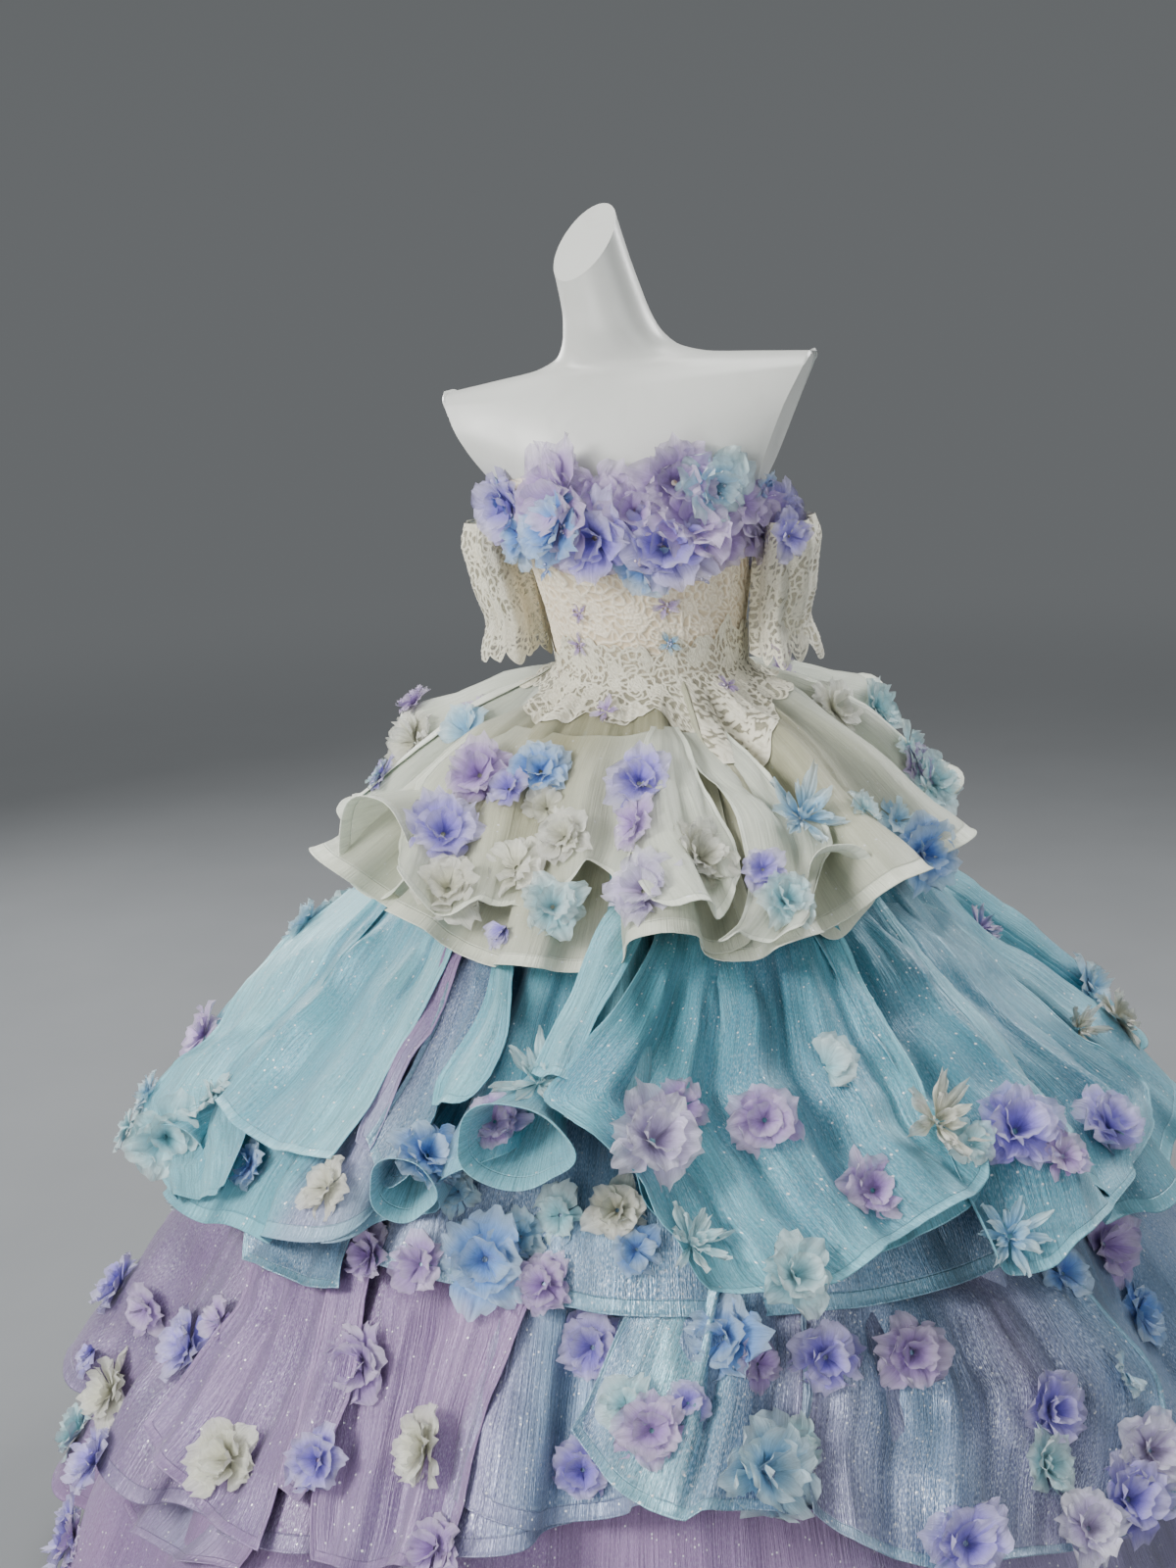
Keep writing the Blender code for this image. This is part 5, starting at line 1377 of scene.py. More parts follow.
# name, tier whose cloth it is cut from, layer, dyes across, left edge, hem and right edge as places in the
# camera's frame, creases as (across at the top, lean, from share, width, out), and soft flutes at the hem as
# (across, width, out), with outs in millimetres
DRAPES = (
    ("upper_tier_petal_outer", "upper_tier", 1, ("aqua", "aqua", "turquoise"),
     ((356, 906), (303, 947), (263, 1001), (225, 1059), (178, 1098), (157, 1122), (168, 1180), (189, 1228)),
     ((212, 1224),),
     ((430, 895), (400, 930), (360, 980), (330, 1020), (300, 1065), (272, 1110), (260, 1160), (238, 1212)),
     ((0.18, 0.1, 0.1, 0.05, 6), (0.38, 0.1, 0.05, 0.04, -7), (0.62, 0.05, 0.1, 0.04, 6)),
     ((0.25, 0.2, 14), (0.75, 0.2, -6))),
    ("upper_tier_petal_left", "upper_tier", 2, ("turquoise", "turquoise", "aqua"),
     ((417, 892), (385, 930), (345, 975), (310, 1020), (265, 1070), (230, 1116)),
     ((238, 1137), (257, 1158), (286, 1177), (311, 1185)),
     ((490, 930), (458, 1001), (438, 1036), (416, 1080), (392, 1121), (371, 1153), (346, 1190)),
     ((0.3, -0.1, 0.1, 0.05, 8), (0.45, -0.05, 0.2, 0.05, -8), (0.66, 0.05, 0.1, 0.04, 7),
      (0.8, 0.05, 0.1, 0.04, -7)),
     ((0.35, 0.22, 12), (0.8, 0.15, 8))),
    ("upper_tier_lame_gore", "under_tier", 1, ("silver_lilac", "silver_blue", "steel_blue"),
     ((478, 960), (441, 1059), (425, 1087), (391, 1145), (377, 1167)),
     ((388, 1192), (407, 1222), (432, 1196)),
     ((519, 960), (503, 1033), (477, 1084), (460, 1116), (453, 1142)),
     ((0.35, 0, 0.1, 0.07, -5), (0.65, 0, 0.1, 0.07, 6)),
     ((0.4, 0.3, 10),)),
    ("upper_tier_lilac_stripe", "lower_tier", 2, ("lilac", "mauve", "lilac"),
     ((471, 950), (426, 1059), (401, 1103), (375, 1145), (364, 1170)),
     (),
     ((487, 950), (446, 1059), (427, 1090), (396, 1145), (378, 1178)),
     ((0.5, 0, 0, 0.3, 4),), ()),
    ("upper_tier_blue_strip", "upper_tier", 3, ("turquoise", "aqua", "turquoise"),
     ((513, 950), (503, 1033), (477, 1084), (458, 1114), (450, 1136)),
     ((470, 1134),),
     ((536, 950), (528, 1033), (522, 1071), (512, 1103), (492, 1124)),
     ((0.5, 0, 0, 0.2, 6),), ((0.5, 0.4, 6),)),
    ("upper_tier_aqua_strip", "upper_tier", 2, ("aqua", "aqua", "turquoise"),
     ((632, 920), (601, 978), (576, 1043), (562, 1084), (552, 1106)),
     ((572, 1108),),
     ((662, 930), (633, 998), (613, 1043), (599, 1080), (592, 1108)),
     ((0.45, 0, 0, 0.18, 7),), ((0.5, 0.4, 6),)),
    # Its deeper turquoise, third across, lies on the side away from the key light: painted shade
    ("upper_tier_petal_main", "upper_tier", 2, ("turquoise", "turquoise", "teal", "turquoise"),
     ((676, 930), (650, 990), (618, 1050), (584, 1098), (560, 1129), (584, 1145), (621, 1178), (646, 1211),
      (662, 1247), (682, 1272), (703, 1304), (723, 1321)),
     ((772, 1319), (842, 1313), (878, 1296), (911, 1268), (948, 1249), (984, 1229), (1000, 1207)),
     ((838, 915), (846, 945), (862, 982), (882, 1019), (907, 1064), (927, 1100), (940, 1129), (972, 1162),
      (1003, 1190)),
     ((0.12, 0.02, 0, 0.022, 8), (0.2, 0, 0.05, 0.025, -13), (0.3, 0.04, 0, 0.02, 8),
      (0.42, 0, 0, 0.022, -12), (0.52, 0.05, 0.1, 0.02, 9), (0.66, 0.02, 0, 0.025, -10),
      (0.8, 0, 0.1, 0.022, 8), (0.9, 0, 0, 0.02, -8)),
     ((0.22, 0.12, 12), (0.5, 0.14, 16), (0.8, 0.12, 12))),
    # Its deeper turquoise all over is painted shade: this petal lies on the side away from the key light
    ("upper_tier_petal_right", "upper_tier", 1, ("teal",),
     ((800, 915), (824, 953), (852, 1002), (880, 1051), (908, 1092), (934, 1130), (964, 1180), (989, 1231)),
     ((1013, 1292), (1062, 1300), (1087, 1272), (1131, 1227), (1148, 1198)),
     ((936, 917), (972, 945), (1009, 982), (1050, 1023), (1074, 1043), (1123, 1080), (1160, 1104), (1168, 1130),
      (1164, 1166)),
     ((0.1, 0.04, 0, 0.05, -13), (0.32, 0.06, 0, 0.03, 10), (0.5, 0.05, 0, 0.035, -12),
      (0.66, 0.06, 0.05, 0.03, 9), (0.82, 0.02, 0, 0.03, -8)),
     ((0.3, 0.18, 16), (0.7, 0.18, 12))),
    ("under_tier_petal_left", "under_tier", 1, ("silver_blue", "steel_blue", "silver_blue"),
     ((300, 1160), (273, 1224), (257, 1263), (254, 1287)),
     ((279, 1298), (311, 1309), (340, 1315)),
     ((396, 1180), (376, 1225), (362, 1260), (357, 1315)),
     ((0.3, 0, 0, 0.07, 4), (0.6, 0, 0, 0.07, -5)),
     ((0.3, 0.25, 10), (0.8, 0.2, 6))),
    ("middle_tier_petal_front", "under_tier", 2, ("silver_blue", "aqua", "silver_blue", "silver_lilac"),
     ((694, 1236), (678, 1267), (642, 1340), (613, 1405), (584, 1463)),
     ((605, 1491), (642, 1528), (678, 1550), (701, 1559), (717, 1544), (756, 1546), (790, 1548)),
     ((830, 1290), (816, 1348), (819, 1414), (818, 1475), (815, 1548)),
     ((0.16, 0.1, 0.1, 0.03, -6), (0.4, 0.1, 0, 0.022, 14), (0.45, 0.1, 0, 0.022, -16),
      (0.66, 0.05, 0.1, 0.03, 6), (0.82, 0, 0.1, 0.03, -8)),
     ((0.25, 0.15, 12), (0.6, 0.1, 12), (0.85, 0.12, 8))),
    ("middle_tier_lame_right", "under_tier", 3, ("silver_lilac", "silver_blue", "silver_lilac", "silver_blue"),
     ((822, 1300), (813, 1348), (817, 1414), (815, 1475), (822, 1544)),
     ((862, 1573), (911, 1593), (960, 1602), (1009, 1592), (1087, 1580)),
     ((1070, 1285), (1111, 1336), (1140, 1373), (1164, 1405), (1176, 1450), (1166, 1510), (1140, 1568)),
     ((0.1, 0.02, 0, 0.02, 8), (0.22, 0.04, 0, 0.025, -12), (0.36, 0.05, 0, 0.02, 10),
      (0.48, 0.04, 0, 0.025, -13), (0.6, 0.05, 0, 0.02, 9), (0.74, 0.04, 0, 0.025, -12),
      (0.88, 0.02, 0, 0.02, 8)),
     ((0.2, 0.14, 14), (0.5, 0.14, 18), (0.8, 0.14, 14))),
    ("middle_tier_lilac_left", "lower_tier", 2, ("mauve",),
     ((270, 1270), (249, 1333), (214, 1383), (180, 1425), (157, 1456)),
     ((165, 1477), (191, 1517), (230, 1559), (255, 1580)),
     ((352, 1290), (339, 1356), (331, 1402), (308, 1460), (297, 1498), (292, 1529), (270, 1586)),
     ((0.18, 0.05, 0, 0.04, 8), (0.36, 0.05, 0, 0.04, -12), (0.56, 0.04, 0, 0.04, 10),
      (0.74, 0.02, 0, 0.04, -10)),
     ((0.3, 0.2, 16), (0.75, 0.16, 10))),
    ("lower_tier_petal_left", "lower_tier", 1, ("lilac", "silver_lilac", "lilac"),
     ((215, 1410), (180, 1460), (150, 1505), (132, 1536)),
     ((140, 1555), (155, 1568), (191, 1590), (222, 1599)),
     ((300, 1490), (285, 1535), (268, 1575), (250, 1605)),
     ((0.3, 0, 0, 0.06, 6), (0.6, 0, 0, 0.06, -8)),
     ((0.3, 0.2, 12), (0.75, 0.2, 10))),
    ("middle_tier_lilac_sash", "lower_tier", 3, ("lilac", "mauve", "lilac"),
     ((370, 1210), (354, 1270), (342, 1345), (322, 1414), (309, 1460), (296, 1498), (292, 1521)),
     (),
     ((410, 1216), (394, 1270), (380, 1330), (370, 1395), (359, 1444), (338, 1488), (312, 1532)),
     ((0.5, 0, 0, 0.3, 8),), ()),
    ("middle_tier_purple_panel", "lower_tier", 1, ("lilac", "mauve", "lilac", "lilac"),
     ((362, 1290), (346, 1400), (332, 1470), (322, 1530), (318, 1590)),
     ((370, 1606), (400, 1596), (430, 1604)),
     ((552, 1300), (516, 1402), (496, 1460), (477, 1536), (460, 1600)),
     ((0.15, 0, 0, 0.03, -8), (0.34, 0, 0, 0.03, 8), (0.52, 0, 0, 0.035, -12),
      (0.72, 0, 0, 0.03, 8), (0.86, 0, 0, 0.03, -8)),
     ((0.25, 0.15, 12), (0.7, 0.15, 14))),
    ("peplum_flap_right", "peplum", 1, ("ivory",),
     ((690, 745), (712, 790), (736, 812), (752, 840), (762, 880), (764, 912), (754, 944), (726, 964)),
     ((757, 967), (790, 968), (812, 962)),
     ((740, 745), (775, 790), (810, 825), (845, 842), (850, 862), (840, 885), (828, 913), (820, 945)),
     ((0.35, 0, 0, 0.05, 5), (0.6, 0, 0, 0.05, -6)),
     ((0.2, 0.2, 12), (0.8, 0.2, 10))),
    # Its deeper cream middle stands partly for painted shade, as on the peplum
    ("peplum_flap_left", "peplum", 1, ("ivory", "oat", "ivory"),
     ((508, 735), (462, 770), (432, 802), (416, 840), (412, 888)),
     ((422, 920), (450, 935), (486, 935), (520, 931), (560, 924), (587, 905), (612, 887), (629, 896)),
     ((668, 745), (662, 800), (654, 850), (642, 915)),
     ((0.15, 0, 0.1, 0.03, 6), (0.28, 0, 0, 0.03, -9), (0.42, 0, 0.1, 0.03, 7),
      (0.58, 0, 0, 0.03, -10), (0.72, 0, 0.1, 0.03, 7), (0.86, 0, 0, 0.03, -7)),
     ((0.12, 0.14, 26), (0.36, 0.12, 20), (0.78, 0.1, 18))),
    ("peplum_flap_round", "peplum", 2, ("ivory",),
     ((664, 742), (656, 800), (650, 850), (655, 900), (668, 930)),
     ((690, 940), (722, 944), (745, 925)),
     ((692, 742), (705, 792), (728, 832), (752, 864), (757, 895)),
     ((0.35, 0, 0, 0.06, 6), (0.6, 0, 0.1, 0.06, -6)),
     ((0.3, 0.25, 18), (0.75, 0.2, 14))),
)

# Trumpets, rolled from the cloth's own hem: name, the darker dye inside, painted towards the mouth on one half
# # of the ring as the shade in its hollow, and the dye outside, the frame's places where the roll leaves the
# cloth
# # and of its mouth, half the mouth's width and height there, how far the mouth stands off the tier, and how
# much
# # it faces down and to the wearer's right
TRUMPETS = (
    ("upper_tier_trumpet_centre", "turquoise", "aqua", (598, 985), (570, 1180), 60, 45, 0.036, 0.4, 0.25),
    ("upper_tier_trumpet_left", "silver_blue", "aqua", (470, 1080), (440, 1228), 33, 35, 0.026, 0.5, 0.2),
    ("upper_tier_trumpet_outer", "turquoise", "aqua", (255, 1090), (201, 1180), 27, 17, 0.022, 0.5, 0.5),
    ("peplum_trumpet_right", "ivory", "ivory", (835, 770), (368, 864), 42, 54, 0.02, 0.35, 0.6),
    ("peplum_trumpet_left", "ivory", "ivory", (850, 790), (884, 900), 40, 50, 0.02, 0.35, -0.5),
)
TRUMPET_ROWS = 26
TRUMPET_RIM_ROWS = (0.012, 0.004, 0.0)  # closer ones at its mouth, as shares of its path
TRUMPET_COLUMNS = 48
TRUMPET_ROOT = 0.007  # radius where it leaves the cloth
TRUMPET_SUNK = 0.016
TRUMPET_BEND = 0.45  # how far behind its mouth its path bends, over its reach
TRUMPET_FLARE = 1.7
TRUMPET_RUFFLE = 0.05
TRUMPET_BEAD = HEM_BEAD * 1.4  # the wire round its mouth
TRUMPET_BEAD_WIDE = 0.003


BRIDGED = 1.6  # a drape spans the hollows between its tier's folds: each fold is this much wider under it
BRIDGES = {
    name: {**tier, "curl": 0.0, "folds": tuple((at, wide * BRIDGED, out) for at, wide, out in tier["folds"])}
    for name, tier in TIERS.items()
}


def in_frame(points):
    """Where the camera sees points: across and down in its frame, and how far ahead they are."""
    seen = (points - np.array(CAMERA_PLACE)) @ np.array(camera_turn())
    scale = FRAME_TALL * CAMERA_LENS / SENSOR
    ahead = -seen[..., 2]
    across = FRAME_WIDE / 2 + seen[..., 0] / ahead * scale
    return stacked(across, FRAME_TALL / 2 - seen[..., 1] / ahead * scale), ahead


def share_at(tier, angle, along):
    return np.clip((along - tier["top"]) / (smooth_around(tier["hem"], angle) - tier["top"]), 0, MOST_SHARE)


def on_tier(tier_name, places):
    """(angle, along) of the point of a tier's whole surface that the camera sees at each place of its frame:
    of a fine grid's points within SAME_PLACE of it, the one nearest to the camera, or else the closest one."""
    tier = BRIDGES[tier_name]
    angle, along = np.meshgrid(ANGLE_STEPS, ALONG_STEPS)
    seen, ahead = in_frame(tier_surface(tier)(angle, share_at(tier, angle, along)))
    seen, ahead = seen.reshape(-1, 2), ahead.ravel()
    away = np.linalg.norm(seen[None] - np.asarray(places, float)[:, None], axis=-1)
    cost = np.where(away < SAME_PLACE, ahead + 0.02 * away, 100 + away)
    best = cost.argmin(axis=1)
    return stacked(angle.ravel()[best], along.ravel()[best])


def smooth_path(points, count):
    """A smooth curve through points, at even steps of their path's length."""
    length = np.concatenate([[0], np.cumsum(np.linalg.norm(np.diff(points, axis=0), axis=1) + 1e-9)])
    where = np.linspace(0, length[-1], count)
    return stacked(*(smooth_through(length, points[:, k], where) for k in range(points.shape[1])))


def close_steps(length, step):
    """Shares along a length: even steps, and closer ones next to both ends."""
    near = EDGE_ROWS / length
    even = np.linspace(near[-1], 1 - near[-1], max(int(length / step), 4))
    return np.concatenate([near, even[1:-1], (1 - near)[::-1]])


def make_drape(context, row):
    """A panel between two edges and a hem, all on its tier's surface: (1 - u) left(v) + u right(v), plus v
    cubed times what the hem differs from a straight one, in angle and along. It stands off by its layer, by its
    creases and flutes, and by its wired edges, which spring up."""
    name, cloth, layer, dyes, left, hem, right, creases, flutes = row
    tier_name, step = tier_of(name), context.scene.gown_sizes.cloth_step
    tier = BRIDGES[tier_name]
    on_left, on_right = on_tier(tier_name, left), on_tier(tier_name, right)
    middle = on_tier(tier_name, hem) if hem else np.zeros((0, 2))
    on_hem = np.concatenate([on_left[-1:], middle, on_right[-1:]])

    def on_path(places, at):
        path, steps = smooth_path(places, PATH_POINTS), np.linspace(0, 1, PATH_POINTS)
        return stacked(*(np.interp(at, steps, path[:, k]) for k in range(2)))

    def patch(u, v):
        down_left, down_right, low = on_path(on_left, v), on_path(on_right, v), on_path(on_hem, u)
        u, v = u[..., None], v[..., None]
        return (1 - u) * down_left + u * down_right + v**3 * (low - (1 - u) * on_hem[0] - u * on_hem[-1])

    def place(where):
        return tier_surface(tier)(where[..., 0], share_at(tier, where[..., 0], where[..., 1]))

    rest = np.linspace(0, 1, ROUGH_POINTS)
    u, v = np.meshgrid(rest, rest)
    rough = place(patch(u, v))
    wide, long = path_length(rough), path_length(np.swapaxes(rough, 0, 1))
    u, v = np.meshgrid(close_steps(wide.max(), step), close_steps(long.max(), ROW_STRETCH * step))
    where = patch(u, v)
    angle, along = where[..., 0], where[..., 1]
    share = share_at(tier, angle, along)
    points = place(where)
    out = normals_of(tier_surface(tier), angle, share)
    row_wide, column_long = np.interp(v, rest, wide), np.interp(u, rest, long)
    sides = np.minimum(u, 1 - u) * row_wide
    edge = np.minimum(sides, (1 - v) * column_long)
    rise = layer * STAND * ease(v / 0.12) + EDGE_LIFT * ease(v / 0.2) * np.exp(-edge / EDGE_SOFT)
    for start, lean, first, width, height in creases:
        x = (u - start - lean * v) / width
        window = ease((v - first) / 0.25) * ease((1.15 - v) / 0.3)
        rise = rise + height / MILLIMETRES * tent(x) * window * ease(sides / 0.02)
    for start, width, height in flutes:
        x = np.clip((u - start) / width, -1, 1)
        rise = rise + height / MILLIMETRES * (0.5 + 0.5 * np.cos(math.pi * x)) * v**2.5
    seed = DRAPE_SEED + [drape[0] for drape in DRAPES].index(name) * 7
    rise = rise + ease(v / 0.2) * (
        DRAPE_BILLOW * crumple(points, DRAPE_BILLOWS_APART, seed)
        + RADIAL * down_ridges(angle, along, DRAPE_RIDGES_APART, seed + 1)
        + CRINKLE * (1 - np.abs(crumple(points, CRINKLES_APART, seed + 2)))
    )
    rise = rise + HEM_BEAD * bell(edge, HEM_BEAD_WIDE)
    points = points + out * rise[..., None]
    dye_steps, sway = np.linspace(0, 1, len(dyes)), 0.04 * np.sin(5 * v)
    dye = stacked(*(np.interp(u + sway, dye_steps, [DYES[d][k] for d in dyes]) for k in range(3)))
    paler, most = tier["fade"]
    dye = mix(dye, DYES[paler], most * v**2)
    piece = mesh_piece(
        name, points, grid_faces(*u.shape), tier_finish(cloth),
        uv=stacked((u - 0.5) * wide.mean(), v * column_long),
        numbers=[("edge", np.minimum(SIDE_EDGE * sides, HEM_EDGE * (1 - v) * column_long))],
        colours=[("dye", dye)],
    )
    thicken(piece, context.scene.gown_sizes.cloth)
    declare_cloth(points)


def declare_cloth(points):
    """Works out the area of a laid-on panel and the size it is cut to, from its grid of points, and keeps
    neither.
    """
    across, down = np.diff(points, axis=1)[:-1], np.diff(points, axis=0)[:, :-1]
    area = float(np.linalg.norm(np.cross(across, down), axis=-1).sum())
    wide, long = float(path_length(points).max()), float(path_length(np.swapaxes(points, 0, 1)).max())
    area = max(area, LEAST_SHARE_CUT * wide * long)


def make_trumpet(context, row):
    """A flute rolled into a trumpet: rings about a bent path that leads from under the cloth to the mouth. A
    ring's radius grows as a power of its share of the path, and its rim is ruffled by sines round it."""
    name, inner, outer, root, mouth, across, down, stand, lower, aside = row
    tier_name = tier_of(name)
    tier = TIERS[tier_name]
    ends = on_tier(tier_name, (root, mouth))
    share = share_at(tier, ends[:, 0], ends[:, 1])
    surface = tier_surface(tier)
    (start, end), (start_out, end_out) = surface(ends[:, 0], share), normals_of(surface, ends[:, 0], share)
    start, end = start - start_out * TRUMPET_SUNK, end + end_out * stand
    to_camera = np.array(CAMERA_PLACE) - end
    metres = np.linalg.norm(to_camera) * SENSOR / CAMERA_LENS / FRAME_TALL
    right = np.array(camera_turn())[:, 0]
    facing = to_camera / np.linalg.norm(to_camera) + lower * np.array((0, 0, -1.0)) - aside * right
    facing /= np.linalg.norm(facing)
    reach = np.linalg.norm(end - start)
    bend = end - facing * TRUMPET_BEND * reach
    even, rim = np.linspace(0, 1, TRUMPET_ROWS)[:-1], 1 - np.array(TRUMPET_RIM_ROWS)
    s = np.unique(np.concatenate([even, rim]))[:, None]
    turn = np.linspace(2 * math.pi, 0, TRUMPET_COLUMNS + 1)
    path = (1 - s) ** 2 * start + 2 * s * (1 - s) * bend + s**2 * end
    along = 2 * (1 - s) * (bend - start) + 2 * s * (end - bend)
    along /= np.linalg.norm(along, axis=-1, keepdims=True)
    side = right - along * (along @ right)[:, None]
    side /= np.linalg.norm(side, axis=-1, keepdims=True)
    up = np.cross(along, side)
    grow = s**TRUMPET_FLARE
    wave = 1 + TRUMPET_RUFFLE * grow * (np.sin(3 * turn + 1.0) + 0.6 * np.sin(5 * turn + 2.4))
    wide = (TRUMPET_ROOT + (across * metres - TRUMPET_ROOT) * grow) * wave
    tall = (TRUMPET_ROOT + (down * metres - TRUMPET_ROOT) * grow) * wave
    sway = 0.1 * across * metres * grow * np.sin(2 * turn + 0.6)
    wide, tall = (wide * np.cos(turn))[..., None], (tall * np.sin(turn))[..., None]
    points = path[:, None] + wide * side[:, None] + tall * up[:, None] + sway[..., None] * along[:, None]
    edge = (1 - s) * reach + 0 * turn
    outwards = points - path[:, None]
    far = np.maximum(np.linalg.norm(outwards, axis=-1, keepdims=True), 1e-6)
    points = points + (TRUMPET_BEAD * bell(edge, TRUMPET_BEAD_WIDE))[..., None] * outwards / far
    # One half of the ring takes more of the darker inside dye towards the mouth: painted shade of the hollow
    dye = mix(np.array(DYES[outer]) + 0 * edge[..., None], DYES[inner], 0.35 + 0.3 * np.sin(turn) * s)
    piece = mesh_piece(
        name, points, grid_faces(*edge.shape), tier_finish(tier_name),
        uv=stacked(turn * across * metres * 0.6, s * reach), numbers=[("edge", edge)], colours=[("dye", dye)],
    )
    close_seams(piece)
    thicken(piece, context.scene.gown_sizes.cloth)
    declare_cloth(points)


# Flowers the camera sees: (across, down) in its frame, radius there, bloom, and shape where it isn't "full". A
# flower sits on the cloth that the camera meets at that place.
NECKLINE_POSY = (
    (576, 516, 54, "lilac"), (574, 540, 44, "blue"), (516, 514, 40, "violet"), (610, 548, 42, "violet"),
    (616, 508, 34, "lilac", "open"), (646, 524, 38, "lilac"), (676, 562, 46, "violet"), (704, 542, 44, "lilac"),
    (686, 492, 42, "lilac"), (724, 496, 40, "sky"), (746, 516, 38, "lilac", "open"), (782, 530, 44, "violet"),
    (774, 502, 26, "blue", "open"), (540, 548, 30, "blue", "open"), (660, 578, 26, "blue", "open"),
    (498, 506, 22, "blue", "open"), (800, 548, 24, "violet", "open"), (579, 486, 26, "lilac", "fan"),
    (732, 552, 30, "lilac", "open"),
)
PEPLUM_POSY = (
    (374, 758, 32, "ivory"), (338, 792, 22, "violet", "open"), (368, 794, 18, "aqua", "open"),
    (490, 792, 36, "lilac"), (552, 788, 31, "blue"), (558, 826, 24, "ivory", "open"), (452, 852, 38, "violet"),
    (577, 855, 28, "ivory"), (528, 886, 36, "ivory", "open"), (458, 908, 38, "ivory"),
    (518, 946, 22, "violet", "fan"), (564, 926, 32, "aqua"), (652, 800, 34, "violet"),
    (650, 842, 28, "lilac", "open"), (657, 910, 38, "pink"), (712, 876, 38, "ivory"),
    (778, 888, 24, "violet", "open"), (800, 920, 30, "aqua"), (818, 836, 42, "sky", "spiky"),
    (880, 826, 22, "aqua", "open"), (942, 872, 36, "blue"), (950, 798, 33, "aqua"), (912, 724, 28, "aqua"),
    (822, 670, 17, "lilac", "open"), (926, 762, 22, "aqua", "open"), (914, 838, 24, "sky", "open"),
    (520, 806, 24, "violet", "open"),
)
STARS = (
    (559, 580, 11, "blue", "star"), (592, 626, 10, "lilac", "star"), (593, 658, 11, "lilac", "star"),
    (682, 657, 12, "sky", "star"), (619, 727, 15, "lilac", "star"), (680, 617, 14, "lilac", "star"),
    (742, 700, 12, "lilac", "star"),
)
UPPER_POSY = (
    (205, 1057, 31, "lilac", "open"), (168, 1160, 36, "aqua"), (255, 1190, 26, "blue"),
    (335, 1213, 27, "ivory", "open"), (435, 1180, 36, "blue"), (505, 1145, 29, "lilac"),
    (550, 1105, 40, "aqua", "spiky"), (665, 1165, 48, "pink"), (780, 1143, 36, "lilac"),
    (840, 1088, 36, "aqua", "fan"), (890, 1215, 36, "lilac"), (955, 1145, 44, "ivory", "spiky"),
    (1035, 1155, 45, "violet"), (1130, 1150, 38, "violet"), (1100, 1050, 24, "ivory", "spiky"),
    (705, 1270, 36, "aqua", "spiky"), (810, 1303, 38, "aqua"), (630, 1235, 31, "ivory"),
    (650, 1275, 26, "blue", "open"), (214, 1124, 30, "aqua", "fan"), (128, 1150, 24, "aqua", "open"),
    (572, 1240, 30, "aqua", "open"), (468, 1216, 22, "sky", "open"), (694, 1130, 26, "lilac", "open"),
    (1030, 1262, 38, "sky", "spiky"), (1084, 1180, 26, "lilac", "open"), (990, 1168, 24, "aqua", "open"),
)
LOW_POSY = (
    (495, 1285, 45, "blue"), (555, 1310, 31, "lilac"), (430, 1290, 28, "lilac", "open"),
    (380, 1280, 28, "lilac"), (1125, 1270, 40, "lilac"), (1160, 1340, 32, "blue"), (100, 1312, 31, "violet"),
    (740, 1365, 41, "blue"), (842, 1385, 36, "violet"), (930, 1380, 36, "lilac"),
    (640, 1435, 28, "aqua", "open"), (665, 1460, 36, "lilac"), (780, 1500, 50, "sky"),
    (605, 1375, 36, "violet"), (1070, 1440, 36, "violet"), (1065, 1495, 31, "aqua"), (1172, 1480, 36, "pink"),
    (1150, 1530, 40, "violet"), (1110, 1560, 34, "pink"), (985, 1575, 41, "violet"), (195, 1375, 36, "violet"),
    (115, 1420, 36, "ivory"), (370, 1390, 36, "lilac"), (100, 1490, 31, "violet"), (235, 1490, 38, "ivory"),
    (325, 1490, 30, "violet"), (435, 1480, 36, "ivory"), (445, 1580, 34, "lilac"), (22, 1570, 36, "violet"),
    (595, 1500, 31, "violet"), (150, 1336, 26, "lilac", "open"), (225, 1350, 24, "lilac", "open"),
    (532, 1262, 24, "sky", "open"), (1084, 1300, 28, "blue", "open"), (772, 1392, 24, "lilac", "open"),
    (812, 1478, 26, "aqua", "open"), (1146, 1400, 26, "sky", "fan"), (702, 1432, 22, "violet", "open"),
)

# Flowers out of its sight: (tier, share down it, spread of the share, from, to, how many), and at the neckline
# (angle, radius). Angles are in degrees.
HIDDEN_ROWS = (
    ("peplum", 0.45, 0.16, 106, 286, 7), ("peplum", 0.85, 0.08, 112, 292, 9),
    ("upper_tier", 0.62, 0.06, 104, 282, 8), ("upper_tier", 0.9, 0.06, 98, 288, 13),
    ("under_tier", 0.94, 0.02, 104, 282, 7),
    ("middle_tier", 0.62, 0.06, 98, 284, 10), ("middle_tier", 0.92, 0.05, 92, 290, 14),
    ("lower_tier", 0.62, 0.06, 96, 290, 12), ("lower_tier", 0.88, 0.05, 90, 292, 16),
    ("lower_tier", 0.86, 0.06, -62, 78, 12),
)
HIDDEN_BLOOMS = ("violet", "lilac", "ivory", "blue", "lilac", "aqua", "sky", "pink")
HIDDEN_SHAPES = ("full", "full", "open", "full", "fan", "full", "spiky")
HIDDEN_RADIUS = (0.026, 0.044)
HIDDEN_NECKLINE = (
    (76, 0.042), (105, 0.036), (142, 0.038), (180, 0.04), (218, 0.038), (254, 0.036), (274, 0.036),
)
NECKLINE_SHARE = 0.88  # of the bodice's height: where the neckline flowers out of sight are sewn
HIDDEN_SWAY = 4  # degrees that a flower out of sight may lie off its even place
RADIAL_SHARE = 0.5  # how far a flower's face turns from the cloth under it towards straight out
UP_SHARE = 0.12  # and up
SEWN_OFF = 0.0015  # a flower's foot stands this far off its cloth
NECKLINE_STAND = 0.006  # and further, on the neckline's band


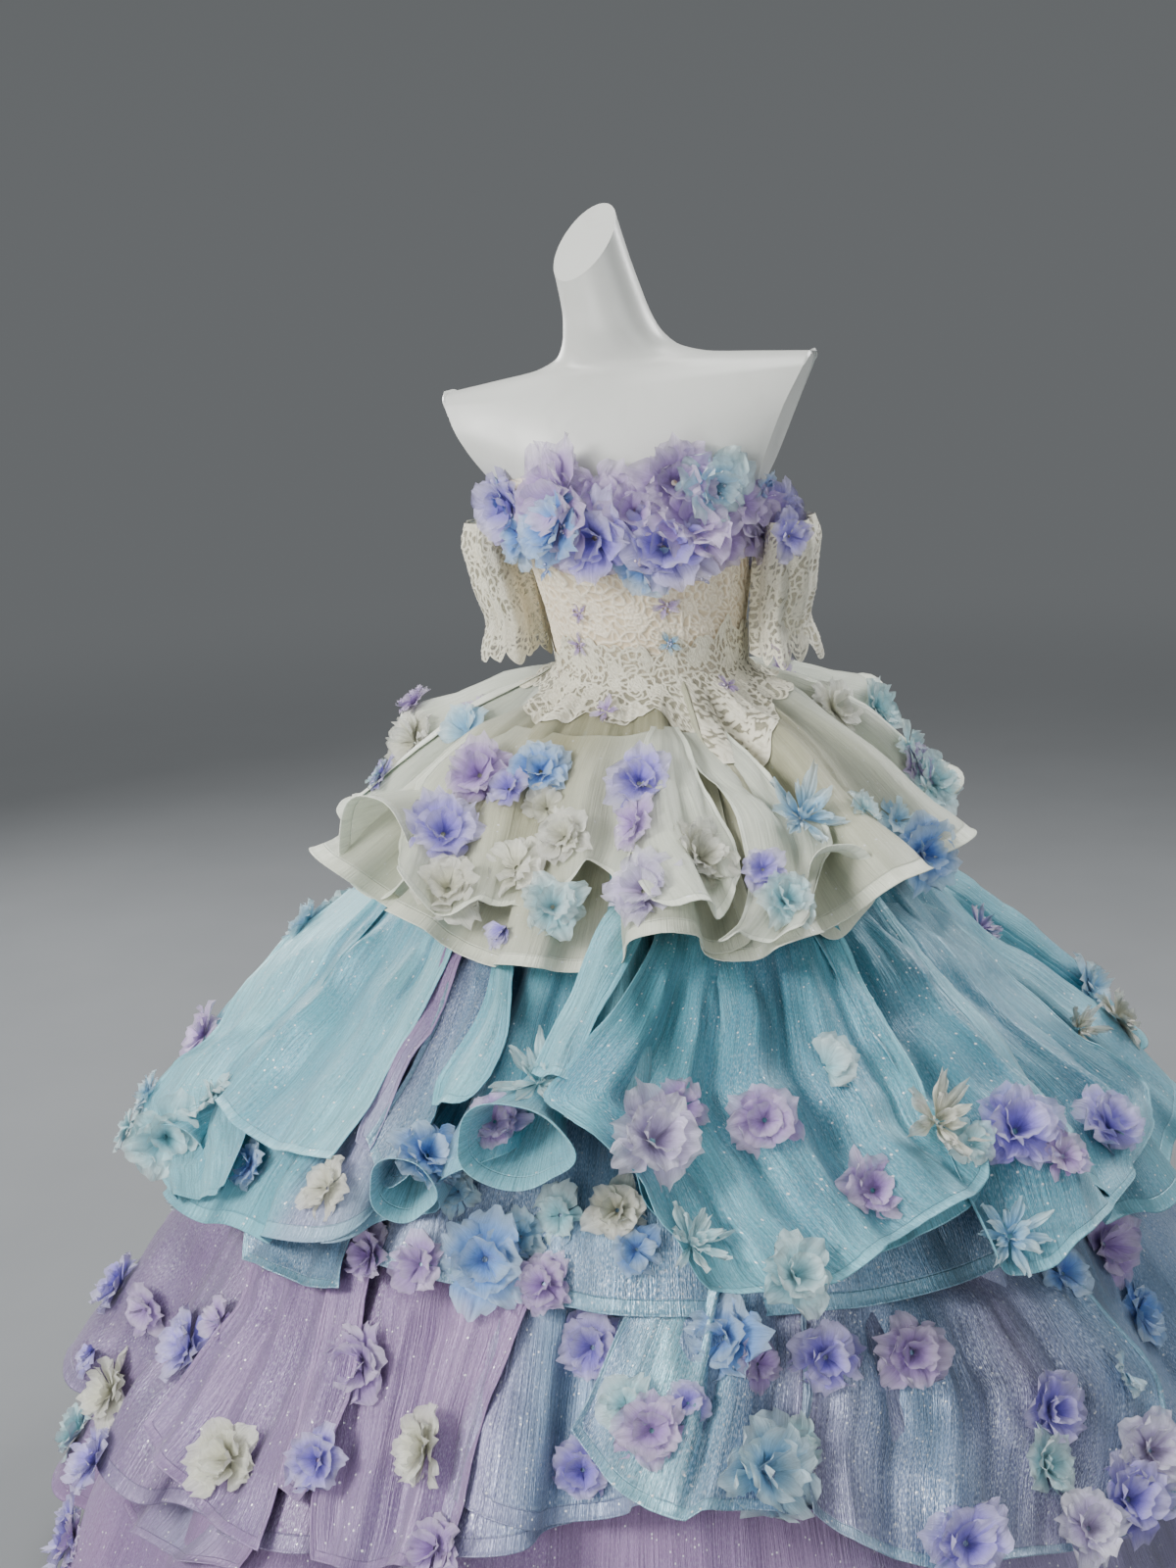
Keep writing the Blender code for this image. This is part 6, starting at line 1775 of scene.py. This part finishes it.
def face_out(place, outward):
    """The way a flower faces: its cloth's outward direction, turned part of the way straight out and up."""
    radial = np.array((place[0], place[1], 0.0)) / max(math.hypot(place[0], place[1]), 1e-6)
    facing = outward + RADIAL_SHARE * radial + np.array((0, 0, UP_SHARE))
    return facing / np.linalg.norm(facing)


SEEN_SIZE = 1.12  # a flower's petals reach past the ring that its place in a table gives


def sew_seen(context, posy, rows, words, stand=0.0):
    """Sews flowers where the camera meets the pieces whose names hold one of the words."""
    trees = cloth_trees(words)
    for across, down, radius, bloom, *shape in rows:
        place, outward = seen_place(trees, across, down)
        away = float(np.linalg.norm(place - np.array(CAMERA_PLACE)))
        facing = face_out(place, outward)
        metres = SEEN_SIZE * radius * away * SENSOR / CAMERA_LENS / FRAME_TALL * context.scene.gown_sizes.petals
        posy.add(place + facing * (SEWN_OFF + stand), facing, metres, bloom, *shape)


def sew_hidden(context, posy, rows):
    rng = np.random.default_rng(posy.seed + 100)
    for tier_name, share, spread, start, end, count in rows:
        angle = np.radians(np.linspace(start, end, count) + rng.uniform(-HIDDEN_SWAY, HIDDEN_SWAY, count))
        where = share + spread * rng.uniform(-1, 1, count)
        places, outwards = cloth_point(tier_name, angle, where)
        for place, outward in zip(places, outwards):
            bloom = HIDDEN_BLOOMS[int(rng.integers(len(HIDDEN_BLOOMS)))]
            shape = HIDDEN_SHAPES[int(rng.integers(len(HIDDEN_SHAPES)))]
            facing = face_out(place, outward)
            radius = rng.uniform(*HIDDEN_RADIUS) * context.scene.gown_sizes.petals
            posy.add(place + facing * SEWN_OFF, facing, radius, bloom, shape)


def make_neckline_flowers(context):
    posy = Posy(11)
    sew_seen(context, posy, NECKLINE_POSY, ("bodice", "form_shell", "sleeve"), stand=NECKLINE_STAND)
    for degrees, radius in HIDDEN_NECKLINE:
        angle = np.array(math.radians(degrees))
        height = bodice_height(angle, NECKLINE_SHARE)
        place, out = torso_surface(angle, height), torso_normals(angle, height)
        bloom = HIDDEN_BLOOMS[int(posy.rng.integers(4))]
        posy.add(place + out * NECKLINE_STAND, face_out(place, out), radius, bloom)
    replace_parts(posy.make("neckline_blooms"), "neckline_flowers")
    stars = Posy(12)
    sew_seen(context, stars, STARS, ("bodice", "waist_lace"))
    stars.make("bodice_stars")


def make_skirt_flowers(context):
    for name, seed, rows, words, *tiers in (
        ("peplum_blooms", 21, PEPLUM_POSY, ("peplum", "bodice"), "peplum"),
        ("upper_tier_blooms", 31, UPPER_POSY, ("tier",), "upper_tier"),
        ("lower_tier_blooms", 41, LOW_POSY, ("tier", "underskirt"), "under_tier", "middle_tier", "lower_tier"),
    ):
        posy = Posy(seed)
        sew_seen(context, posy, rows, words)
        sew_hidden(context, posy, [row for row in HIDDEN_ROWS if row[0] in tiers])
        posy.make(name)


# ---- beads

BEAD_ROWS = 5
BEAD_COLUMNS = 6
BEAD_STAND = (0.0008, 0.003)  # how far one stands off its cloth
BEAD_SHADES = (0.75, 1.2)  # factors of its dye, and of its radius
BEAD_SIZES = (0.7, 1.2)
BEAD_CLUSTERS = (
    # across, down, how many, spread, dye
    (617, 727, 9, 0.01, (196, 178, 205)), (683, 620, 7, 0.009, (206, 196, 216)),
    (735, 500, 8, 0.01, (190, 200, 214)), (575, 540, 6, 0.007, (214, 206, 220)),
    (558, 580, 5, 0.006, (150, 166, 208)), (590, 625, 5, 0.006, (196, 176, 206)),
    (592, 657, 5, 0.006, (196, 176, 206)), (682, 657, 5, 0.006, (160, 176, 212)),
    (650, 575, 5, 0.006, (206, 190, 206)), (720, 590, 5, 0.006, (190, 186, 214)),
    (570, 690, 4, 0.005, (214, 206, 196)), (740, 700, 5, 0.006, (206, 196, 216)),
)


def make_beads(context):
    """Small glass beads in clusters: round balls, each a grid of two parameters whose poles are closed."""
    rng = np.random.default_rng(5)
    trees = cloth_trees(("_lace", "waist_lace", "_blooms"))
    places, dyes = [], []
    for across, down, count, spread, dye in BEAD_CLUSTERS:
        place, outward = seen_place(trees, across, down)
        stand = np.array(Vector(outward).to_track_quat("Z", "Y").to_matrix())
        turn, reach = rng.uniform(0, 2 * math.pi, count), spread * np.sqrt(rng.uniform(0, 1, count))
        local = stacked(reach * np.cos(turn), reach * np.sin(turn), rng.uniform(*BEAD_STAND, count))
        places.append(local @ stand.T + place)
        dyes.append(np.clip(np.array(linear(*dye)) * rng.uniform(*BEAD_SHADES, (count, 1)), 0, 1))
    places, dyes = np.concatenate(places), np.concatenate(dyes)
    polar = np.linspace(0, math.pi, BEAD_ROWS)[:, None]
    turn = (np.arange(BEAD_COLUMNS) * 2 * math.pi / BEAD_COLUMNS)[None, :]
    ball = stacked(np.sin(polar) * np.cos(turn), np.sin(polar) * np.sin(turn), np.cos(polar))
    radius = context.scene.gown_sizes.bead * rng.uniform(*BEAD_SIZES, len(places))
    points = places[:, None, None, :] + ball[None] * radius[:, None, None, None]
    faces = repeated_faces(len(places), BEAD_ROWS, BEAD_COLUMNS, closed=True)
    shades = np.broadcast_to(dyes[:, None, None, :], points.shape)
    finish = finish_called(bead_finish, "bead_glass")
    piece = mesh_piece("beads", points, faces, finish, colours=[("dye", shades)])
    close_seams(piece)


# ---- stage

FLOOR_REACH = 12.0
FLOOR_FADE = (1.2, 7.0)  # the floor turns to the grey behind it over this distance
LIGHTS = (
    # name, place, size, power, colour; each looks at LIGHTS_AIM
    ("key", (-2.5, -2.7, 2.9), 1.6, 190, (1.0, 0.99, 0.97)),
    ("fill", (2.9, -2.3, 1.9), 2.2, 34, (0.95, 0.975, 1.0)),
    ("rim", (2.1, 2.4, 2.7), 1.4, 100, (1.0, 1.0, 1.0)),
    ("back", (-2.7, 2.3, 2.0), 1.6, 80, (1.0, 1.0, 1.0)),
    ("top", (0.0, 0.2, 3.8), 2.0, 60, (1.0, 1.0, 1.0)),
    ("low", (-0.9, -3.2, 0.8), 1.8, 36, (1.0, 0.99, 0.98)),
)
LIGHTS_AIM = (0.0, 0.0, 0.95)
WORLD_RISE = (-0.02, 0.35)  # the grey eases from the horizon's to the sky's between these heights
HORIZON_GREY = (0.138, 0.146, 0.152)
SKY_GREY = (0.124, 0.134, 0.136)


def make_stage(context):
    """A pale floor, soft lights all round, a plain grey world and the camera."""
    corner = FLOOR_REACH * np.array(((-1, 1, 0), (1, 1, 0), (-1, -1, 0), (1, -1, 0)), float)
    mesh = bpy.data.meshes.new("floor")
    mesh.from_pydata(corner.tolist(), [], grid_faces(2, 2).tolist())
    mesh.materials.append(finish_called(floor_finish, "pale_floor"))
    add_object("floor", mesh)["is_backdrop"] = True
    for name, place, size, power, colour in LIGHTS:
        lamp = bpy.data.lights.new(name, "AREA")
        lamp.shape, lamp.size, lamp.energy, lamp.color = "DISK", size, power, colour
        light = add_object(name, lamp)
        light.location = place
        light.rotation_euler = (Vector(LIGHTS_AIM) - Vector(place)).to_track_quat("-Z", "Y").to_euler()
    world = bpy.data.worlds.new("studio")
    world.use_nodes = True
    tree = world.node_tree
    up = add_node(tree, "SeparateXYZ", {0: add_node(tree, "TexCoord").outputs["Generated"]}).outputs[2]
    rise = {0: up, 1: WORLD_RISE[0], 2: WORLD_RISE[1]}
    share = add_node(tree, "MapRange", rise, interpolation_type="SMOOTHSTEP").outputs[0]
    grey = add_node(tree, "Mix", {0: share, 6: (*HORIZON_GREY, 1), 7: (*SKY_GREY, 1)}, data_type="RGBA")
    feed(tree, tree.nodes["Background"].inputs["Color"], grey.outputs[2])
    context.scene.world = world
    lens = bpy.data.cameras.new("camera")
    lens.lens, lens.sensor_width = CAMERA_LENS, SENSOR
    camera = add_object("camera", lens)
    camera.location = CAMERA_PLACE
    camera.rotation_euler = camera_turn().to_euler()
    context.scene.camera = camera


# ---- what a user may change


class GownSizes(bpy.types.PropertyGroup):
    cloth: FloatProperty(
        name="Cloth thickness", description="Thickness of an organza panel with its stiffening",
        default=0.0009, min=0.0002, max=0.002, unit="LENGTH",
    )
    cloth_step: FloatProperty(
        name="Cloth step", description="Distance between the points of an organza panel",
        default=0.0072, min=0.004, max=0.03, unit="LENGTH",
    )
    lace_step: FloatProperty(
        name="Lace step", description="Distance between the points of the lace, which carry its cords",
        default=0.0015, min=0.001, max=0.01, unit="LENGTH",
    )
    petals: FloatProperty(
        name="Flower size", description="Size of every sewn flower, as a factor",
        default=1.0, min=0.5, max=1.3, subtype="FACTOR",
    )
    bead: FloatProperty(
        name="Bead radius", description="Radius of the glass beads",
        default=0.0019, min=0.0005, max=0.004, unit="LENGTH",
    )


# ---- operators


class GOWN_OT_form(bpy.types.Operator):
    """Dress form: moulded torso, steel pole and base plate"""

    bl_idname = "gown.form"
    bl_label = "Dress form"

    def execute(self, context):
        make_form()
        return {"FINISHED"}


class GOWN_OT_underskirt(bpy.types.Operator):
    """Long underskirt, front and back"""

    bl_idname = "gown.underskirt"
    bl_label = "Underskirt"

    def execute(self, context):
        make_tier(context, "underskirt")
        return {"FINISHED"}


class GOWN_OT_lower_tier(bpy.types.Operator):
    """Lowest flounce, with deep flutes down to the floor"""

    bl_idname = "gown.lower_tier"
    bl_label = "Lower tier"

    def execute(self, context):
        make_tier(context, "lower_tier")
        return {"FINISHED"}


class GOWN_OT_middle_tier(bpy.types.Operator):
    """Middle flounce in four panels"""

    bl_idname = "gown.middle_tier"
    bl_label = "Middle tier"

    def execute(self, context):
        make_tier(context, "middle_tier")
        return {"FINISHED"}


class GOWN_OT_under_tier(bpy.types.Operator):
    """Lining flounce that shows below the upper tier"""

    bl_idname = "gown.under_tier"
    bl_label = "Under tier"

    def execute(self, context):
        make_tier(context, "under_tier")
        return {"FINISHED"}


class GOWN_OT_upper_tier(bpy.types.Operator):
    """Upper flounce: six petal-like panels with wired hems"""

    bl_idname = "gown.upper_tier"
    bl_label = "Upper tier"

    def execute(self, context):
        make_tier(context, "upper_tier")
        return {"FINISHED"}


class GOWN_OT_peplum(bpy.types.Operator):
    """Peplum in three fluted panels"""

    bl_idname = "gown.peplum"
    bl_label = "Peplum"

    def execute(self, context):
        make_tier(context, "peplum")
        return {"FINISHED"}


class GOWN_OT_drapes(bpy.types.Operator):
    """Petal panels, sash and trumpets laid over the tiers"""

    bl_idname = "gown.drapes"
    bl_label = "Drapes"

    def execute(self, context):
        for row in DRAPES:
            make_drape(context, row)
        for row in TRUMPETS:
            make_trumpet(context, row)
        return {"FINISHED"}


class GOWN_OT_bodice(bpy.types.Operator):
    """Corset panels in corded lace"""

    bl_idname = "gown.bodice"
    bl_label = "Bodice"

    def execute(self, context):
        for node, start, end in BODICE_PANELS:
            make_bodice_panel(context, node, start, end)
        return {"FINISHED"}


class GOWN_OT_sleeves(bpy.types.Operator):
    """Off-shoulder lace sleeves, left and right"""

    bl_idname = "gown.sleeves"
    bl_label = "Sleeves"

    def execute(self, context):
        make_sleeve(context, "sleeve_left", 1)
        make_sleeve(context, "sleeve_right", -1)
        return {"FINISHED"}


class GOWN_OT_waist_lace(bpy.types.Operator):
    """Lace laid over the waist seam"""

    bl_idname = "gown.waist_lace"
    bl_label = "Waist lace"

    def execute(self, context):
        make_waist_lace(context)
        return {"FINISHED"}


class GOWN_OT_neckline_flowers(bpy.types.Operator):
    """Flowers along the neckline"""

    bl_idname = "gown.neckline_flowers"
    bl_label = "Neckline flowers"

    def execute(self, context):
        make_neckline_flowers(context)
        return {"FINISHED"}


class GOWN_OT_skirt_flowers(bpy.types.Operator):
    """Flowers sewn to the peplum and the tiers"""

    bl_idname = "gown.skirt_flowers"
    bl_label = "Skirt flowers"

    def execute(self, context):
        make_skirt_flowers(context)
        return {"FINISHED"}


class GOWN_OT_beads(bpy.types.Operator):
    """Glass beads on the bodice and in the flowers' hearts"""

    bl_idname = "gown.beads"
    bl_label = "Beads"

    def execute(self, context):
        make_beads(context)
        return {"FINISHED"}


class GOWN_OT_stage(bpy.types.Operator):
    """Floor, lights, world and camera"""

    bl_idname = "gown.stage"
    bl_label = "Stage"

    def execute(self, context):
        make_stage(context)
        return {"FINISHED"}


OPERATORS = (
    GOWN_OT_form, GOWN_OT_underskirt, GOWN_OT_lower_tier, GOWN_OT_middle_tier, GOWN_OT_under_tier,
    GOWN_OT_upper_tier, GOWN_OT_peplum, GOWN_OT_drapes, GOWN_OT_bodice, GOWN_OT_sleeves, GOWN_OT_waist_lace,
    GOWN_OT_neckline_flowers, GOWN_OT_skirt_flowers, GOWN_OT_beads, GOWN_OT_stage,
)


class GOWN_PT_gown(bpy.types.Panel):
    """Sizes of the gown, and a button for each of its pieces"""

    bl_idname = "GOWN_PT_gown"
    bl_label = "Ball gown"
    bl_space_type = "VIEW_3D"
    bl_region_type = "UI"
    bl_category = "Gown"

    def draw(self, context):
        for name in ("cloth", "cloth_step", "lace_step", "petals", "bead"):
            self.layout.prop(context.scene.gown_sizes, name)
        for operator in OPERATORS:
            self.layout.operator(operator.bl_idname)


CLASSES = (GownSizes, *OPERATORS, GOWN_PT_gown)


def register():
    for made in CLASSES:
        bpy.utils.register_class(made)
    bpy.types.Scene.gown_sizes = PointerProperty(type=GownSizes)


def unregister():
    del bpy.types.Scene.gown_sizes
    for made in reversed(CLASSES):
        bpy.utils.unregister_class(made)


def main():
    register()
    for operator in OPERATORS:
        group, call = operator.bl_idname.split(".")
        getattr(getattr(bpy.ops, group), call)()


if __name__ == "__main__":
    main()
